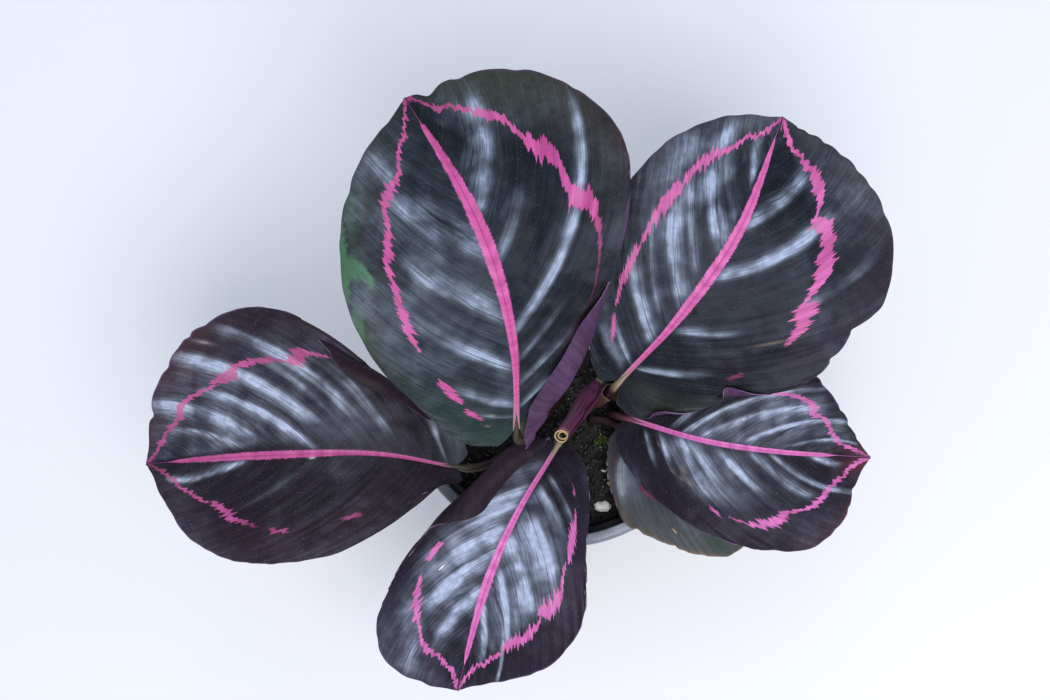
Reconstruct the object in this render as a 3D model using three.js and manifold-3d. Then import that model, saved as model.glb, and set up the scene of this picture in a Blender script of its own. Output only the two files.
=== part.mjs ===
// Potted calathea: six broad patterned leaves and one still rolled, standing in a black nursery pot.
// Millimetres, +Z up. The origin is the middle of the pot's flat base.
// Every leaf is written flat first (a midrib and the outline of each half), then bent along its veins.
import * as THREE from "three";
import { mergeVertices } from "three/addons/utils/BufferGeometryUtils.js";
import Module from "manifold-3d";

const wasm = await Module();
wasm.setup();

// Driving dimensions
const GAP = 0.3;
const RIM_RADIUS = 60;
const POT_HEIGHT = 95;
const BASE_RADIUS = 43;
const WALL = 1.4;
const FLOOR = 1.8;
const LIP_WIDTH = 4.2;
const SKIRT = 9;
const STEP_HEIGHT = 82;
const STEP_IN = 1.4;
const DRAIN_HOLES = 8;
const DRAIN_RADIUS = 3.5;
const POT_SIDES = 48;
const SOIL_EDGE = 79;
const SOIL_CROWN = 82.5;
const HOLE_BOTTOM = 62;
const STEM_RADIUS = 1.35;
const SHEATH_RADIUS = 2.1;
const PULVINUS_RADIUS = 1.7;
const BLADE = 0.6;
const RIB_HALF = 1.2;
const RIB_DEPTH = 1.6;
const STUB = 2;

const colours = {
  pot: { color: 0x17181b, roughness: 0.5, metalness: 0 },
  soil: { color: 0x1d1a18, roughness: 1, metalness: 0 },
  green: { color: 0x232b27, roughness: 0.4, metalness: 0 },
  purple: { color: 0x2a2430, roughness: 0.4, metalness: 0 },
  worn: { color: 0x5a5a4c, roughness: 0.6, metalness: 0 },
  stem: { color: 0x5b4038, roughness: 0.6, metalness: 0 },
  rolled: { color: 0x7a2f5c, roughness: 0.5, metalness: 0 },
  perlite: { color: 0xe9e7e1, roughness: 0.9, metalness: 0 },
  pellet: { color: 0xa08a4a, roughness: 0.8, metalness: 0 },
};

// The leaves. Outline points are flat, [distance along the midrib, distance from it], base to tip.
// fold and camber are the slope of each half, left then right, at the midrib and gained by the margin.
// A curl rolls one margin up over the blade, from the part start of each vein outwards; its roll lists
// places along that margin, 0 at the base to 1 at the tip, and how many degrees it has turned there.
// A wave lifts and drops both margins so many times, by so many millimetres.
const leaves = {
  leaf_a: {
    colour: "green",
    midrib: [[-12, -17, 143], [-11.5, 8, 156], [-16.5, 35, 170], [-28, 62, 173], [-48, 94, 166]],
    left: [[-4, 7], [2, 20], [19, 34], [37.7, 45.7], [60, 50.5], [81.5, 45.9], [102, 33], [116.1, 17.1]],
    right: [[-8, 6], [-3, 12], [10, 19], [26, 28], [45, 36], [61, 44.5], [75, 52], [92, 55.7], [110, 51],
      [123.3, 40.2], [128.5, 22.1]],
    fold: [5, 5],
    camber: [-8, -8],
    curl: { side: 1, start: 0.5, roll: [[0, 120], [0.06, 220], [0.16, 240], [0.24, 190], [0.4, 0]] },
    wave: [2.5, 1],
  },
  leaf_b: {
    colour: "green",
    midrib: [[23, 1, 117], [45, 24, 131], [65, 53, 139], [80, 92, 138]],
    left: [[-4, 6], [3, 15], [20, 26], [41, 36], [62, 42], [79.9, 37.8], [94.9, 27.9], [106.3, 14.1]],
    right: [[-9, 5], [-10, 13], [-5, 20], [4, 28], [11, 32], [19, 35], [27, 45], [38, 52], [52.3, 53.6],
      [61.5, 53.3], [72.1, 57.7], [85.5, 56.1], [98.1, 50.9], [108.1, 39.8], [113.3, 21.5]],
    fold: [12, -8],
    camber: [-6, -8],
    wave: [3.5, 1.2],
  },
  leaf_c: {
    colour: "purple",
    midrib: [[-36, -30, 110], [-66, -25, 121], [-108, -26, 126], [-151, -29, 117]],
    left: [[-2, 5], [6, 8], [16, 14], [29, 26], [43.6, 36], [64, 38.9], [83.7, 37], [100.4, 28.2],
      [111.3, 13.9]],
    right: [[-4, 6], [-1, 11], [8.5, 18], [22.5, 26], [37, 33.5], [50, 39.5], [57, 46], [65.6, 52.2], [80, 54.1],
      [91.6, 51.4], [105.3, 43.9], [116.2, 25.8]],
    fold: [6, 6],
    camber: [-8, -8],
    curl: { side: 1, start: 0.66, roll: [[0.03, 0], [0.14, 160], [0.28, 200], [0.41, 0]] },
    wave: [2.5, 1],
  },
  leaf_d: {
    colour: "purple",
    midrib: [[0.5, -22, 113], [-14, -47, 120], [-25, -73, 119], [-37, -112, 103]],
    left: [[-2, 5], [3, 13], [17, 22], [33, 29], [50, 36.2], [66, 35.7], [79.8, 27.7], [91.4, 14.5]],
    right: [[-2, 6.5], [4, 16.5], [14, 25], [28, 28], [42, 26], [54.1, 28.4], [66.1, 32.5], [78.1, 34.7],
      [89.8, 35.2], [102.3, 29.2], [105.9, 14]],
    fold: [6, 6],
    camber: [-8, -8],
    curl: { side: 1, start: 0.3, roll: [[0, 120], [0.06, 220], [0.26, 250], [0.42, 0]] },
    wave: [3, 1],
  },
  leaf_e: {
    colour: "purple",
    midrib: [[26, -12, 103], [53, -20, 110], [80, -24, 110], [114, -26, 101]],
    left: [[-4, 5], [0, 14], [10, 23], [24, 31], [40, 35], [54, 34.5], [66, 29], [75.4, 20.3], [83.5, 10.4]],
    right: [[-5, 4], [-2, 13], [8, 22], [23, 29], [40, 34], [58, 36.4], [74.3, 34.5], [85.4, 24.2],
      [88.3, 10.1]],
    fold: [2, 0],
    camber: [-8, -8],
    wave: [3, 1.2],
  },
  leaf_f: {
    colour: "worn",
    midrib: [[22, -15, 90], [38, -27, 96], [56, -41, 98], [73, -56, 92]],
    left: [[-1, 6], [8, 13], [20, 18], [34, 20], [48, 16], [59, 9]],
    right: [[0, 6], [6, 14], [14, 21], [25.6, 27.3], [38, 24.8], [51.5, 20.3], [63.6, 12.1]],
    fold: [3, 3],
    camber: [-5, -5],
    wave: [2, 0.8],
  },
};

// Where each stem leaves the soil, how high it rises straight, and how it arrives at its leaf.
const stems = {
  stem_a: { leaf: "leaf_a", root: [0, -4], rise: 24, arrive: [-0.1, 0.75, 0.65], reach: 8 },
  stem_b: { leaf: "leaf_b", root: [16, -4], rise: 9, arrive: [0.3, 0.3, 0.9], reach: 10 },
  stem_c: { leaf: "leaf_c", root: [-5, -10], rise: 14, arrive: [-0.94, 0.1, 0.3], reach: 15 },
  stem_d: { leaf: "leaf_d", root: [4, -12], rise: 8, arrive: [-0.4, -0.7, 0.6], reach: 8 },
  stem_e: { leaf: "leaf_e", root: [20, -10], rise: 6, arrive: [0.8, -0.3, 0.5], reach: 6 },
  stem_f: { leaf: "leaf_f", root: [12, -12], rise: 2, arrive: [0.8, -0.45, 0.4], reach: 4 },
};

// The newest leaf is still a scroll: a thin sheet wound round itself.
const scroll = {
  root: [20, 7],
  bottom: [14.3, 0, 109],
  top: [3.6, -19.2, 150],
  turns: 2.1,
  pitch: 0.95,
  radii: [2.8, 4.1, 3.6, 3.1, 2.9],
  rings: 10,
  pointsPerTurn: 11,
};

// Grains that lie on the soil: place, radius and material.
const grains = {
  perlite_1: { at: [16, -45], radius: 2.6, colour: "perlite" },
  perlite_2: { at: [16.5, -31], radius: 1.2, colour: "perlite" },
  pellet_1: { at: [19, -36], radius: 1.5, colour: "pellet" },
  pellet_2: { at: [-31, -36], radius: 1.8, colour: "pellet" },
};

const vector = (point) => new THREE.Vector3(...point);
const smooth = (a, b, x) => (a < b ? THREE.MathUtils.smoothstep(x, a, b) : 1 - smooth(b, a, x));

function curveThrough(points) {
  return new THREE.CatmullRomCurve3(points, false, "catmullrom", 0.5);
}

function geometryFrom(points, triangles) {
  const geometry = new THREE.BufferGeometry();
  geometry.setAttribute("position", new THREE.Float32BufferAttribute(points.flatMap((p) => [p.x, p.y, p.z]), 3));
  geometry.setIndex(triangles.flat());
  return geometry;
}

function solidFrom(geometry) {
  const bare = new THREE.BufferGeometry();
  bare.setAttribute("position", geometry.getAttribute("position"));
  bare.setIndex(geometry.getIndex());
  const merged = mergeVertices(bare, 1e-4);
  const vertProperties = new Float32Array(merged.getAttribute("position").array);
  const triVerts = new Uint32Array(merged.getIndex().array);
  return new wasm.Manifold(new wasm.Mesh({ numProp: 3, vertProperties, triVerts }));
}

function geometryOf(solid) {
  const mesh = solid.getMesh();
  const geometry = new THREE.BufferGeometry();
  geometry.setAttribute("position", new THREE.Float32BufferAttribute(mesh.vertProperties, 3));
  geometry.setIndex([...mesh.triVerts]);
  return geometry;
}

// Lathe about +Z from a closed profile of [radius, height] pairs.
function turned(profile, sides) {
  const lathe = new THREE.LatheGeometry(profile.map(([r, z]) => new THREE.Vector2(r, z)), sides);
  return lathe.rotateX(Math.PI / 2);
}

function cylinder(radius, bottom, top, x, y, sides) {
  const geometry = new THREE.CylinderGeometry(radius, radius, top - bottom, sides);
  return geometry.rotateX(Math.PI / 2).translate(x, y, (bottom + top) / 2);
}

// Pot

// Inner radius of the tapered wall below the stacking step.
function innerRadius(z) {
  const low = BASE_RADIUS - WALL - 0.4;
  const high = RIM_RADIUS - LIP_WIDTH - 0.4 - STEP_IN;
  return low + ((high - low) * (z - FLOOR)) / (STEP_HEIGHT - FLOOR);
}

function makePot() {
  const bore = RIM_RADIUS - LIP_WIDTH;
  const neck = innerRadius(STEP_HEIGHT);
  const profile = [
    [0, 0],
    [BASE_RADIUS - WALL, 0],
    [BASE_RADIUS, WALL],
    [neck + WALL, STEP_HEIGHT - 1],
    [bore + WALL - 0.3, STEP_HEIGHT + 0.6],
    [bore + WALL, POT_HEIGHT - 1.5],
    [RIM_RADIUS - 1.3, POT_HEIGHT - 1.5],
    [RIM_RADIUS - 1.6, POT_HEIGHT - SKIRT],
    [RIM_RADIUS - 0.4, POT_HEIGHT - SKIRT],
    [RIM_RADIUS, POT_HEIGHT - 1.6],
    [RIM_RADIUS - 0.4, POT_HEIGHT - 0.6],
    [RIM_RADIUS - 1.3, POT_HEIGHT],
    [bore + 0.3, POT_HEIGHT],
    [bore, POT_HEIGHT - 0.4],
    [bore - 0.4, STEP_HEIGHT + 1.2],
    [neck, STEP_HEIGHT],
    [innerRadius(FLOOR), FLOOR],
    [0, FLOOR],
  ];
  let solid = solidFrom(turned(profile, POT_SIDES));
  for (let i = 0; i < DRAIN_HOLES; i++) {
    const angle = ((i + 0.5) * 2 * Math.PI) / DRAIN_HOLES;
    const middle = BASE_RADIUS - 9;
    const x = middle * Math.cos(angle);
    const y = middle * Math.sin(angle);
    solid = solid.subtract(solidFrom(cylinder(DRAIN_RADIUS, -1, FLOOR + 1, x, y, 12)));
  }
  return geometryOf(solid);
}

// Soil

// Height of the crumbly surface: a low crown with small lumps, which are crossed waves.
function soilHeight(x, y) {
  const r = Math.hypot(x, y) / innerRadius(SOIL_EDGE);
  const crown = SOIL_EDGE + (SOIL_CROWN - SOIL_EDGE) * (1 - r * r);
  const lumps = Math.sin(0.37 * x + 1.3) * Math.cos(0.31 * y - 0.4) + 0.6 * Math.sin(0.71 * y - 0.53 * x);
  return crown + 0.55 * lumps * (1 - smooth(0.85, 1, r));
}

function makeSoil() {
  const sides = 40;
  const rings = 9;
  const points = [];
  const triangles = [];
  const floorZ = FLOOR + GAP;
  const edge = innerRadius(SOIL_EDGE) - GAP - 0.05;
  const foot = innerRadius(floorZ) - GAP - 0.05;
  points.push(new THREE.Vector3(0, 0, soilHeight(0, 0)));
  for (let i = 1; i <= rings; i++) {
    for (let k = 0; k < sides; k++) {
      const angle = (k * 2 * Math.PI) / sides;
      const r = (edge * i) / rings;
      const x = r * Math.cos(angle);
      const y = r * Math.sin(angle);
      points.push(new THREE.Vector3(x, y, i < rings ? soilHeight(x, y) : SOIL_EDGE));
    }
  }
  for (let k = 0; k < sides; k++) {
    const angle = (k * 2 * Math.PI) / sides;
    points.push(new THREE.Vector3(foot * Math.cos(angle), foot * Math.sin(angle), floorZ));
  }
  const middle = points.push(new THREE.Vector3(0, 0, floorZ)) - 1;
  const at = (ring, k) => 1 + (ring - 1) * sides + (k % sides);
  for (let k = 0; k < sides; k++) {
    triangles.push([0, at(1, k), at(1, k + 1)]);
    for (let i = 1; i <= rings; i++) {
      triangles.push([at(i, k), at(i + 1, k), at(i + 1, k + 1)], [at(i, k), at(i + 1, k + 1), at(i, k + 1)]);
    }
    triangles.push([middle, at(rings + 1, k + 1), at(rings + 1, k)]);
  }
  let solid = solidFrom(geometryFrom(points, triangles));
  for (const [x, y] of [...Object.values(stems), scroll].map((item) => item.root)) {
    solid = solid.subtract(solidFrom(cylinder(SHEATH_RADIUS + GAP, HOLE_BOTTOM - GAP, POT_HEIGHT, x, y, 10)));
  }
  for (const { at: [x, y], radius } of Object.values(grains)) {
    const dimple = new THREE.IcosahedronGeometry(radius + GAP + 0.1, 1).translate(x, y, grainHeight(x, y, radius));
    dimple.setIndex([...Array(dimple.getAttribute("position").count).keys()]);
    solid = solid.subtract(solidFrom(dimple));
  }
  return geometryOf(solid);
}

// Grains

function grainHeight(x, y, radius) {
  return soilHeight(x, y) + 0.45 * radius;
}

function makeGrain({ at: [x, y], radius }) {
  const ball = new THREE.IcosahedronGeometry(radius, 1);
  ball.scale(1, 0.86, 0.8).rotateZ(x + y).translate(x, y, grainHeight(x, y, radius));
  ball.deleteAttribute("normal");
  ball.deleteAttribute("uv");
  return mergeVertices(ball, 1e-4);
}

// Leaf blades

// A thin sheet given as points and triangles becomes a closed solid: it is thickened along its normals
// and walled round its open edge. Both faces are split alike.
function thicken(points, triangles, above, below) {
  const normals = points.map(() => new THREE.Vector3());
  const edges = new Map();
  for (const [a, b, c] of triangles) {
    const ab = points[b].clone().sub(points[a]);
    const ac = points[c].clone().sub(points[a]);
    const normal = ab.cross(ac);
    for (const i of [a, b, c]) normals[i].add(normal);
    for (const [i, k] of [[a, b], [b, c], [c, a]]) edges.set(`${i} ${k}`, [i, k]);
  }
  normals.forEach((normal) => normal.normalize());
  const count = points.length;
  const solid = [
    ...points.map((p, i) => p.clone().addScaledVector(normals[i], above[i])),
    ...points.map((p, i) => p.clone().addScaledVector(normals[i], -below[i])),
  ];
  const faces = [];
  for (const [a, b, c] of triangles) {
    faces.push([a, b, c], [a + count, c + count, b + count]);
  }
  for (const [i, k] of edges.values()) {
    if (!edges.has(`${k} ${i}`)) faces.push([k, i, i + count], [k, i + count, k + count]);
  }
  return geometryFrom(solid, faces);
}

// Degrees turned at place q, eased between the listed places and nothing beyond them.
function rollAt(roll, q) {
  for (let i = 1; i < roll.length; i++) {
    const [[from, low], [to, high]] = [roll[i - 1], roll[i]];
    if (q >= from && q <= to) return low + (high - low) * smooth(from, to, q);
  }
  return 0;
}

// The bent surface of one leaf. q runs along a margin from base to tip, t from the midrib out along a vein.
class LeafSurface {
  constructor(leaf) {
    this.leaf = leaf;
    this.midrib = curveThrough(leaf.midrib.map(vector));
    this.length = this.midrib.getLength();
    const along = this.midrib.getPoint(1).sub(this.midrib.getPoint(0)).normalize();
    this.right = along.clone().cross(new THREE.Vector3(0, 0, 1)).normalize();
    this.up = this.right.clone().cross(along);
    const margin = (outline) => curveThrough([...outline, [this.length, 0]].map(([x, y]) => vector([x, y, 0])));
    this.margins = { "-1": margin(leaf.left), 1: margin(leaf.right) };
  }

  // The midrib at a distance from the base, carried on straight past either end.
  ribAt(x) {
    const u = THREE.MathUtils.clamp(x / this.length, 0, 1);
    const point = this.midrib.getPointAt(u);
    return point.addScaledVector(this.midrib.getTangentAt(u), x - u * this.length);
  }

  ribHalf(x) {
    return RIB_HALF * (1 - (0.7 * x) / this.length);
  }

  // Where along the midrib the vein that ends at margin place q begins: veins sweep strongly forward.
  veinStart(q) {
    return this.length * (0.12 * q + 0.88 * q ** 4.2);
  }

  slope(side, q, t) {
    const k = side < 0 ? 0 : 1;
    const { fold, camber, curl } = this.leaf;
    let degrees = fold[k] + camber[k] * t;
    if (curl && curl.side === side) degrees += rollAt(curl.roll, q) * smooth(curl.start, 1, t);
    return THREE.MathUtils.degToRad(degrees);
  }

  ruffle(q, t) {
    const [count, height] = this.leaf.wave;
    return height * t ** 3 * Math.sin(2 * Math.PI * count * q) * smooth(0, 0.1, q) * smooth(1, 0.9, q);
  }

  // Points of one vein at the places in stops, bent up or down by the slope on the way out.
  vein(side, q, stops) {
    const x0 = this.veinStart(q);
    const y0 = this.ribHalf(x0);
    const end = this.margins[side].getPointAt(q);
    const reach = end.y - y0;
    const bow = 0.17;
    const flat = new THREE.QuadraticBezierCurve(
      new THREE.Vector2(x0, y0),
      new THREE.Vector2((x0 + end.x) / 2 - bow * Math.abs(reach), (y0 + end.y) / 2 + bow * (end.x - x0)),
      new THREE.Vector2(end.x, end.y),
    );
    const steps = 40;
    const points = [];
    let place = flat.getPoint(0);
    let out = y0;
    let rise = 0;
    let next = 0;
    for (let i = 0; i <= steps; i++) {
      const t = i / steps;
      const here = flat.getPoint(t);
      const angle = this.slope(side, q, Math.max(0, t - 0.5 / steps));
      out += (here.y - place.y) * Math.cos(angle);
      rise += (here.y - place.y) * Math.sin(angle);
      place = here;
      while (next < stops.length && t >= stops[next] - 1e-9) {
        const height = rise + this.ruffle(q, t);
        points.push(this.ribAt(here.x).addScaledVector(this.right, side * out).addScaledVector(this.up, height));
        next += 1;
      }
    }
    return points;
  }
}

// One blade with its keeled midrib and a short stub that meets the stem.
function makeBlade(leaf) {
  const surface = new LeafSurface(leaf);
  const rows = 17;
  const lastPlace = 0.965;
  const stops = [0, 0.2, 0.45, 0.675, 0.8, 0.9, 1];
  const columns = stops.length;
  const points = [];
  const below = [];
  const add = (point, depth) => {
    below.push(depth);
    return points.push(point) - 1;
  };
  const keel = (x) => BLADE / 2 + RIB_DEPTH * (1 - (0.85 * x) / surface.length);
  const ribRow = (x) => {
    const middle = surface.ribAt(x);
    const half = surface.ribHalf(x);
    return [-1, 0, 1].map((side) => middle.clone().addScaledVector(surface.right, side * half));
  };
  const [stubLeft, stubMiddle, stubRight] = ribRow(-STUB);
  const stub = [add(stubLeft, keel(0) * 0.6), add(stubMiddle, keel(0)), add(stubRight, keel(0) * 0.6)];
  const grid = [];
  for (let i = 0; i <= rows; i++) {
    const q = lastPlace * (1 - (1 - i / rows) ** 1.15);
    const x = surface.veinStart(q);
    const middle = add(surface.ribAt(x), keel(x));
    const half = (side) =>
      surface.vein(side, q, stops).map((p, j) => add(p, j === 0 ? 0.6 * keel(x) : BLADE / 2));
    grid.push([...half(-1).reverse(), middle, ...half(1)]);
  }
  const tip = add(surface.ribAt(surface.length), BLADE / 2);
  const triangles = [];
  const quad = (a, b, c, d) => triangles.push([a, b, c], [a, c, d]);
  for (let j = 0; j < 2; j++) {
    quad(stub[j], stub[j + 1], grid[0][columns + j], grid[0][columns - 1 + j]);
  }
  for (let i = 0; i < rows; i++) {
    for (let j = 0; j < 2 * columns; j++) {
      quad(grid[i][j], grid[i][j + 1], grid[i + 1][j + 1], grid[i + 1][j]);
    }
  }
  for (let j = 0; j < 2 * columns; j++) triangles.push([grid[rows][j], grid[rows][j + 1], tip]);
  return thicken(points, triangles, points.map(() => BLADE / 2), below);
}

// Stems

// A round bar along a list of centres, with a radius at each, closed by flat ends.
function sweep(centres, radii, sides) {
  const points = [];
  const triangles = [];
  const last = centres.length - 1;
  let across = new THREE.Vector3(1, 0, 0);
  for (let i = 0; i <= last; i++) {
    const along = centres[Math.min(i + 1, last)].clone().sub(centres[Math.max(i - 1, 0)]).normalize();
    across = across.clone().addScaledVector(along, -across.dot(along)).normalize();
    const other = along.clone().cross(across);
    for (let k = 0; k < sides; k++) {
      const angle = (k * 2 * Math.PI) / sides;
      const point = centres[i].clone().addScaledVector(across, radii[i] * Math.cos(angle));
      points.push(point.addScaledVector(other, radii[i] * Math.sin(angle)));
    }
  }
  const at = (i, k) => i * sides + (k % sides);
  for (let k = 0; k < sides; k++) {
    for (let i = 0; i < last; i++) {
      triangles.push([at(i, k), at(i, k + 1), at(i + 1, k + 1)], [at(i, k), at(i + 1, k + 1), at(i + 1, k)]);
    }
    if (k > 0 && k < sides - 1) {
      triangles.push([at(0, 0), at(0, k + 1), at(0, k)], [at(last, 0), at(last, k), at(last, k + 1)]);
    }
  }
  return geometryFrom(points, triangles);
}

// A stem stands straight in its hole, leaves the soil in a broad sheath and ends in a swollen joint.
function makeStem(root, end, arrive, rise, reach) {
  const [x, y] = root;
  const surfaceZ = soilHeight(x, y) + 1;
  const start = new THREE.Vector3(x, y, surfaceZ);
  const bend = new THREE.CubicBezierCurve3(
    start,
    start.clone().add(new THREE.Vector3(0, 0, rise)),
    end.clone().addScaledVector(arrive, -reach),
    end,
  );
  const steps = 12;
  const centres = [new THREE.Vector3(x, y, HOLE_BOTTOM)];
  const radii = [SHEATH_RADIUS];
  const length = bend.getLength();
  for (let i = 0; i <= steps; i++) {
    const s = i / steps;
    const joint = smooth(length - 9, length - 5, s * length);
    centres.push(bend.getPointAt(s));
    const shaft = SHEATH_RADIUS + (STEM_RADIUS - SHEATH_RADIUS) * smooth(0, 0.6, s);
    radii.push(i === steps ? RIB_HALF : shaft + (PULVINUS_RADIUS - shaft) * joint);
  }
  return sweep(centres, radii, 8);
}

function stemTo(stem) {
  const surface = new LeafSurface(leaves[stem.leaf]);
  const base = surface.ribAt(0);
  const inward = surface.midrib.getTangentAt(0);
  const arrive = vector(stem.arrive).normalize();
  const end = base.addScaledVector(inward, -STUB).addScaledVector(surface.up, -0.5);
  end.addScaledVector(arrive, -GAP - RIB_HALF * Math.sqrt(Math.max(0, 1 - arrive.dot(inward) ** 2)));
  return makeStem(stem.root, end, arrive, stem.rise, stem.reach);
}

// Rolled leaf

function makeScroll() {
  const bottom = vector(scroll.bottom);
  const top = vector(scroll.top);
  const axis = top.clone().sub(bottom).normalize();
  const across = new THREE.Vector3(0, 0, 1).cross(axis).normalize();
  const other = axis.clone().cross(across);
  const windings = Math.round(scroll.turns * scroll.pointsPerTurn);
  const section = 2 * (windings + 1);
  const points = [];
  for (let i = 0; i <= scroll.rings; i++) {
    const s = i / scroll.rings;
    const centre = bottom.clone().lerp(top, s);
    const place = s * (scroll.radii.length - 1);
    const low = Math.min(Math.floor(place), scroll.radii.length - 2);
    const outer = THREE.MathUtils.lerp(scroll.radii[low], scroll.radii[low + 1], place - low) - BLADE / 2;
    const ring = (offset) => (k) => {
      const angle = (k / scroll.pointsPerTurn) * 2 * Math.PI;
      const radius = outer - scroll.pitch * (scroll.turns - k / scroll.pointsPerTurn) + offset;
      const point = centre.clone().addScaledVector(across, radius * Math.cos(angle));
      return point.addScaledVector(other, radius * Math.sin(angle));
    };
    const places = [...Array(windings + 1).keys()];
    points.push(...places.map(ring(BLADE / 2)), ...places.reverse().map(ring(-BLADE / 2)));
  }
  const triangles = [];
  const at = (i, k) => i * section + (k % section);
  for (let i = 0; i < scroll.rings; i++) {
    for (let k = 0; k < section; k++) {
      triangles.push([at(i, k), at(i, k + 1), at(i + 1, k + 1)], [at(i, k), at(i + 1, k + 1), at(i + 1, k)]);
    }
  }
  for (let k = 0; k < windings; k++) {
    const [a, b, c, d] = [k, k + 1, section - 2 - k, section - 1 - k];
    triangles.push([a, c, b], [a, d, c]);
    const [e, f, g, h] = [a, b, c, d].map((index) => at(scroll.rings, index));
    triangles.push([e, f, g], [e, g, h]);
  }
  return geometryFrom(points, triangles);
}

function scrollStem() {
  const bottom = vector(scroll.bottom);
  const axis = vector(scroll.top).sub(bottom).normalize();
  return makeStem(scroll.root, bottom.addScaledVector(axis, -GAP), axis, 8, 10);
}

// Assembly

const group = new THREE.Group();

function place(name, geometry, colour) {
  const mesh = new THREE.Mesh(geometry, new THREE.MeshStandardMaterial(colours[colour]));
  mesh.name = name;
  group.add(mesh);
}

place("pot", makePot(), "pot");
place("soil", makeSoil(), "soil");
for (const [name, leaf] of Object.entries(leaves)) place(name, makeBlade(leaf), leaf.colour);
for (const [name, stem] of Object.entries(stems)) place(name, stemTo(stem), "stem");
place("leaf_rolled", makeScroll(), "rolled");
place("stem_rolled", scrollStem(), "stem");
for (const [name, grain] of Object.entries(grains)) place(name, makeGrain(grain), grain.colour);

export default group;
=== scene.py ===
# %% [markdown]
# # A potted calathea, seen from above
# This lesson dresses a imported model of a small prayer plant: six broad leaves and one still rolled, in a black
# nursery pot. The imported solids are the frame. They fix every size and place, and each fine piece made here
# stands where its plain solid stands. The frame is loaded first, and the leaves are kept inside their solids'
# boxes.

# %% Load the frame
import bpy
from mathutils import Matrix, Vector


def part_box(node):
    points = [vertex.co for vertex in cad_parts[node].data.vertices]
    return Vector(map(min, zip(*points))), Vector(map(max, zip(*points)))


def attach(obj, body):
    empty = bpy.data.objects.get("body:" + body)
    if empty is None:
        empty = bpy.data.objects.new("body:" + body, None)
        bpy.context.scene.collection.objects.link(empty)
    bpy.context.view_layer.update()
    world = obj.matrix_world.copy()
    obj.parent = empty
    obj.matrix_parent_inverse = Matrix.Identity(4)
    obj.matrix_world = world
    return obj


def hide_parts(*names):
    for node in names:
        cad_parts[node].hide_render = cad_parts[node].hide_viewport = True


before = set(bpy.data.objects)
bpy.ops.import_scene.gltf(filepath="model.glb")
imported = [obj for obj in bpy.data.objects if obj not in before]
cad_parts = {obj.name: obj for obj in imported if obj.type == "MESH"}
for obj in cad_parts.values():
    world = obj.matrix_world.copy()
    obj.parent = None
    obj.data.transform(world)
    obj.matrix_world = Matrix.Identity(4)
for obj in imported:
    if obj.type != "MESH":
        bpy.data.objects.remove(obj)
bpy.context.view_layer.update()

import math
import bpy
import numpy as np
from mathutils import Vector

bpy.ops.object.select_all(action="DESELECT")
scene = bpy.context.scene
MM = 0.001

# %% [markdown]
# ## Camera
# The plant was seen from nearly straight above, through a 50 mm lens on a 36 mm wide sensor. The camera hangs
# 642 mm over the floor and leans about six degrees, which is why the middle of the pot lies left of the middle
# of the picture. A lean is the shortest turn from looking straight down, so one direction sets it.

# %% The camera over the plant
LENS = 50                                     # mm
SENSOR = 36                                   # mm
EYE_PLACE = (0.0302, -0.0235, 0.6421)         # metres
BACKWARDS = Vector((0.0784, -0.0682, 0.9946))  # from the plant towards the camera
eye = bpy.data.objects.new("camera", bpy.data.cameras.new("camera"))
eye.data.lens = LENS
eye.data.sensor_width = SENSOR
eye.data.clip_start = 0.01
eye.location = EYE_PLACE
eye.rotation_euler = Vector((0, 0, 1)).rotation_difference(BACKWARDS).to_euler()
scene.collection.objects.link(eye)
scene.camera = eye
print("camera looks along", tuple(round(-x, 4) for x in BACKWARDS))

# %% [markdown]
# ## Small tools
# A few helpers do what repeats. The first turns a colour picked on a screen, which is gamma coded, into the
# linear numbers that a shader wants. Two more build node materials: one fills the sockets of a node, and one
# adds a node of any kind with its settings and links. Nodes are written from the inside out, as arithmetic is.

# %% Colours and nodes
def linear(code):
    """A linear colour from an sRGB hex code."""
    parts = [int(code[i:i + 2], 16) / 255 for i in (1, 3, 5)]
    return (*[x / 12.92 if x <= 0.04045 else ((x + 0.055) / 1.055) ** 2.4 for x in parts], 1.0)


def plug(node, sockets):
    """Gives sockets, by name or number, a value or another node's output."""
    for key, value in sockets.items():
        if isinstance(value, bpy.types.NodeSocket):
            node.id_data.links.new(value, node.inputs[key])
        else:
            node.inputs[key].default_value = value


def add(tree, kind, *values, sockets=None, out=None, **settings):
    """Adds one node and gives back its output: the first that it shows, or the one named by out. A kind in
    capitals is a step of arithmetic. The values fill the sockets that the node shows, in their order."""
    if kind.isupper():
        settings["operation"] = kind
        kind = "Math"
    node = tree.nodes.new("ShaderNode" + kind)
    for key, value in settings.items():
        setattr(node, key, value)
    shown = [number for number, socket in enumerate(node.inputs) if socket.enabled]
    plug(node, dict(zip(shown, values)) | (sockets or {}))
    return node.outputs[out] if out else next(output for output in node.outputs if output.enabled)


def new_material(name):
    """An empty node material: its tree and its principled shader."""
    material = bpy.data.materials.new(name)
    material.use_nodes = True
    return material, material.node_tree, material.node_tree.nodes["Principled BSDF"]


print("#808080 in linear numbers:", [round(x, 3) for x in linear("#808080")])

# %% [markdown]
# The other helpers make meshes. Every thin or tubular part of a plant is a sheet with rows and columns: a leaf,
# a stem, a sheath. So a grid primitive is bent through a table of points. A modifier is applied as soon as it
# is added, and the last helper puts a finished piece on the frame and says how fine it is.

# %% Meshes
def smooth(a, b, x):
    """0 at a, 1 at b and beyond, eased between them."""
    k = np.clip((np.asarray(x, float) - a) / (b - a), 0, 1)
    return k * k * (3 - 2 * k)


def primitive(kind, name="shape", **settings):
    """A new primitive under its own name, with nothing else selected."""
    bpy.ops.object.select_all(action="DESELECT")
    getattr(bpy.ops.mesh, f"primitive_{kind}_add")(**settings)
    piece = bpy.context.object
    piece.name = piece.data.name = name
    return piece


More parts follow.
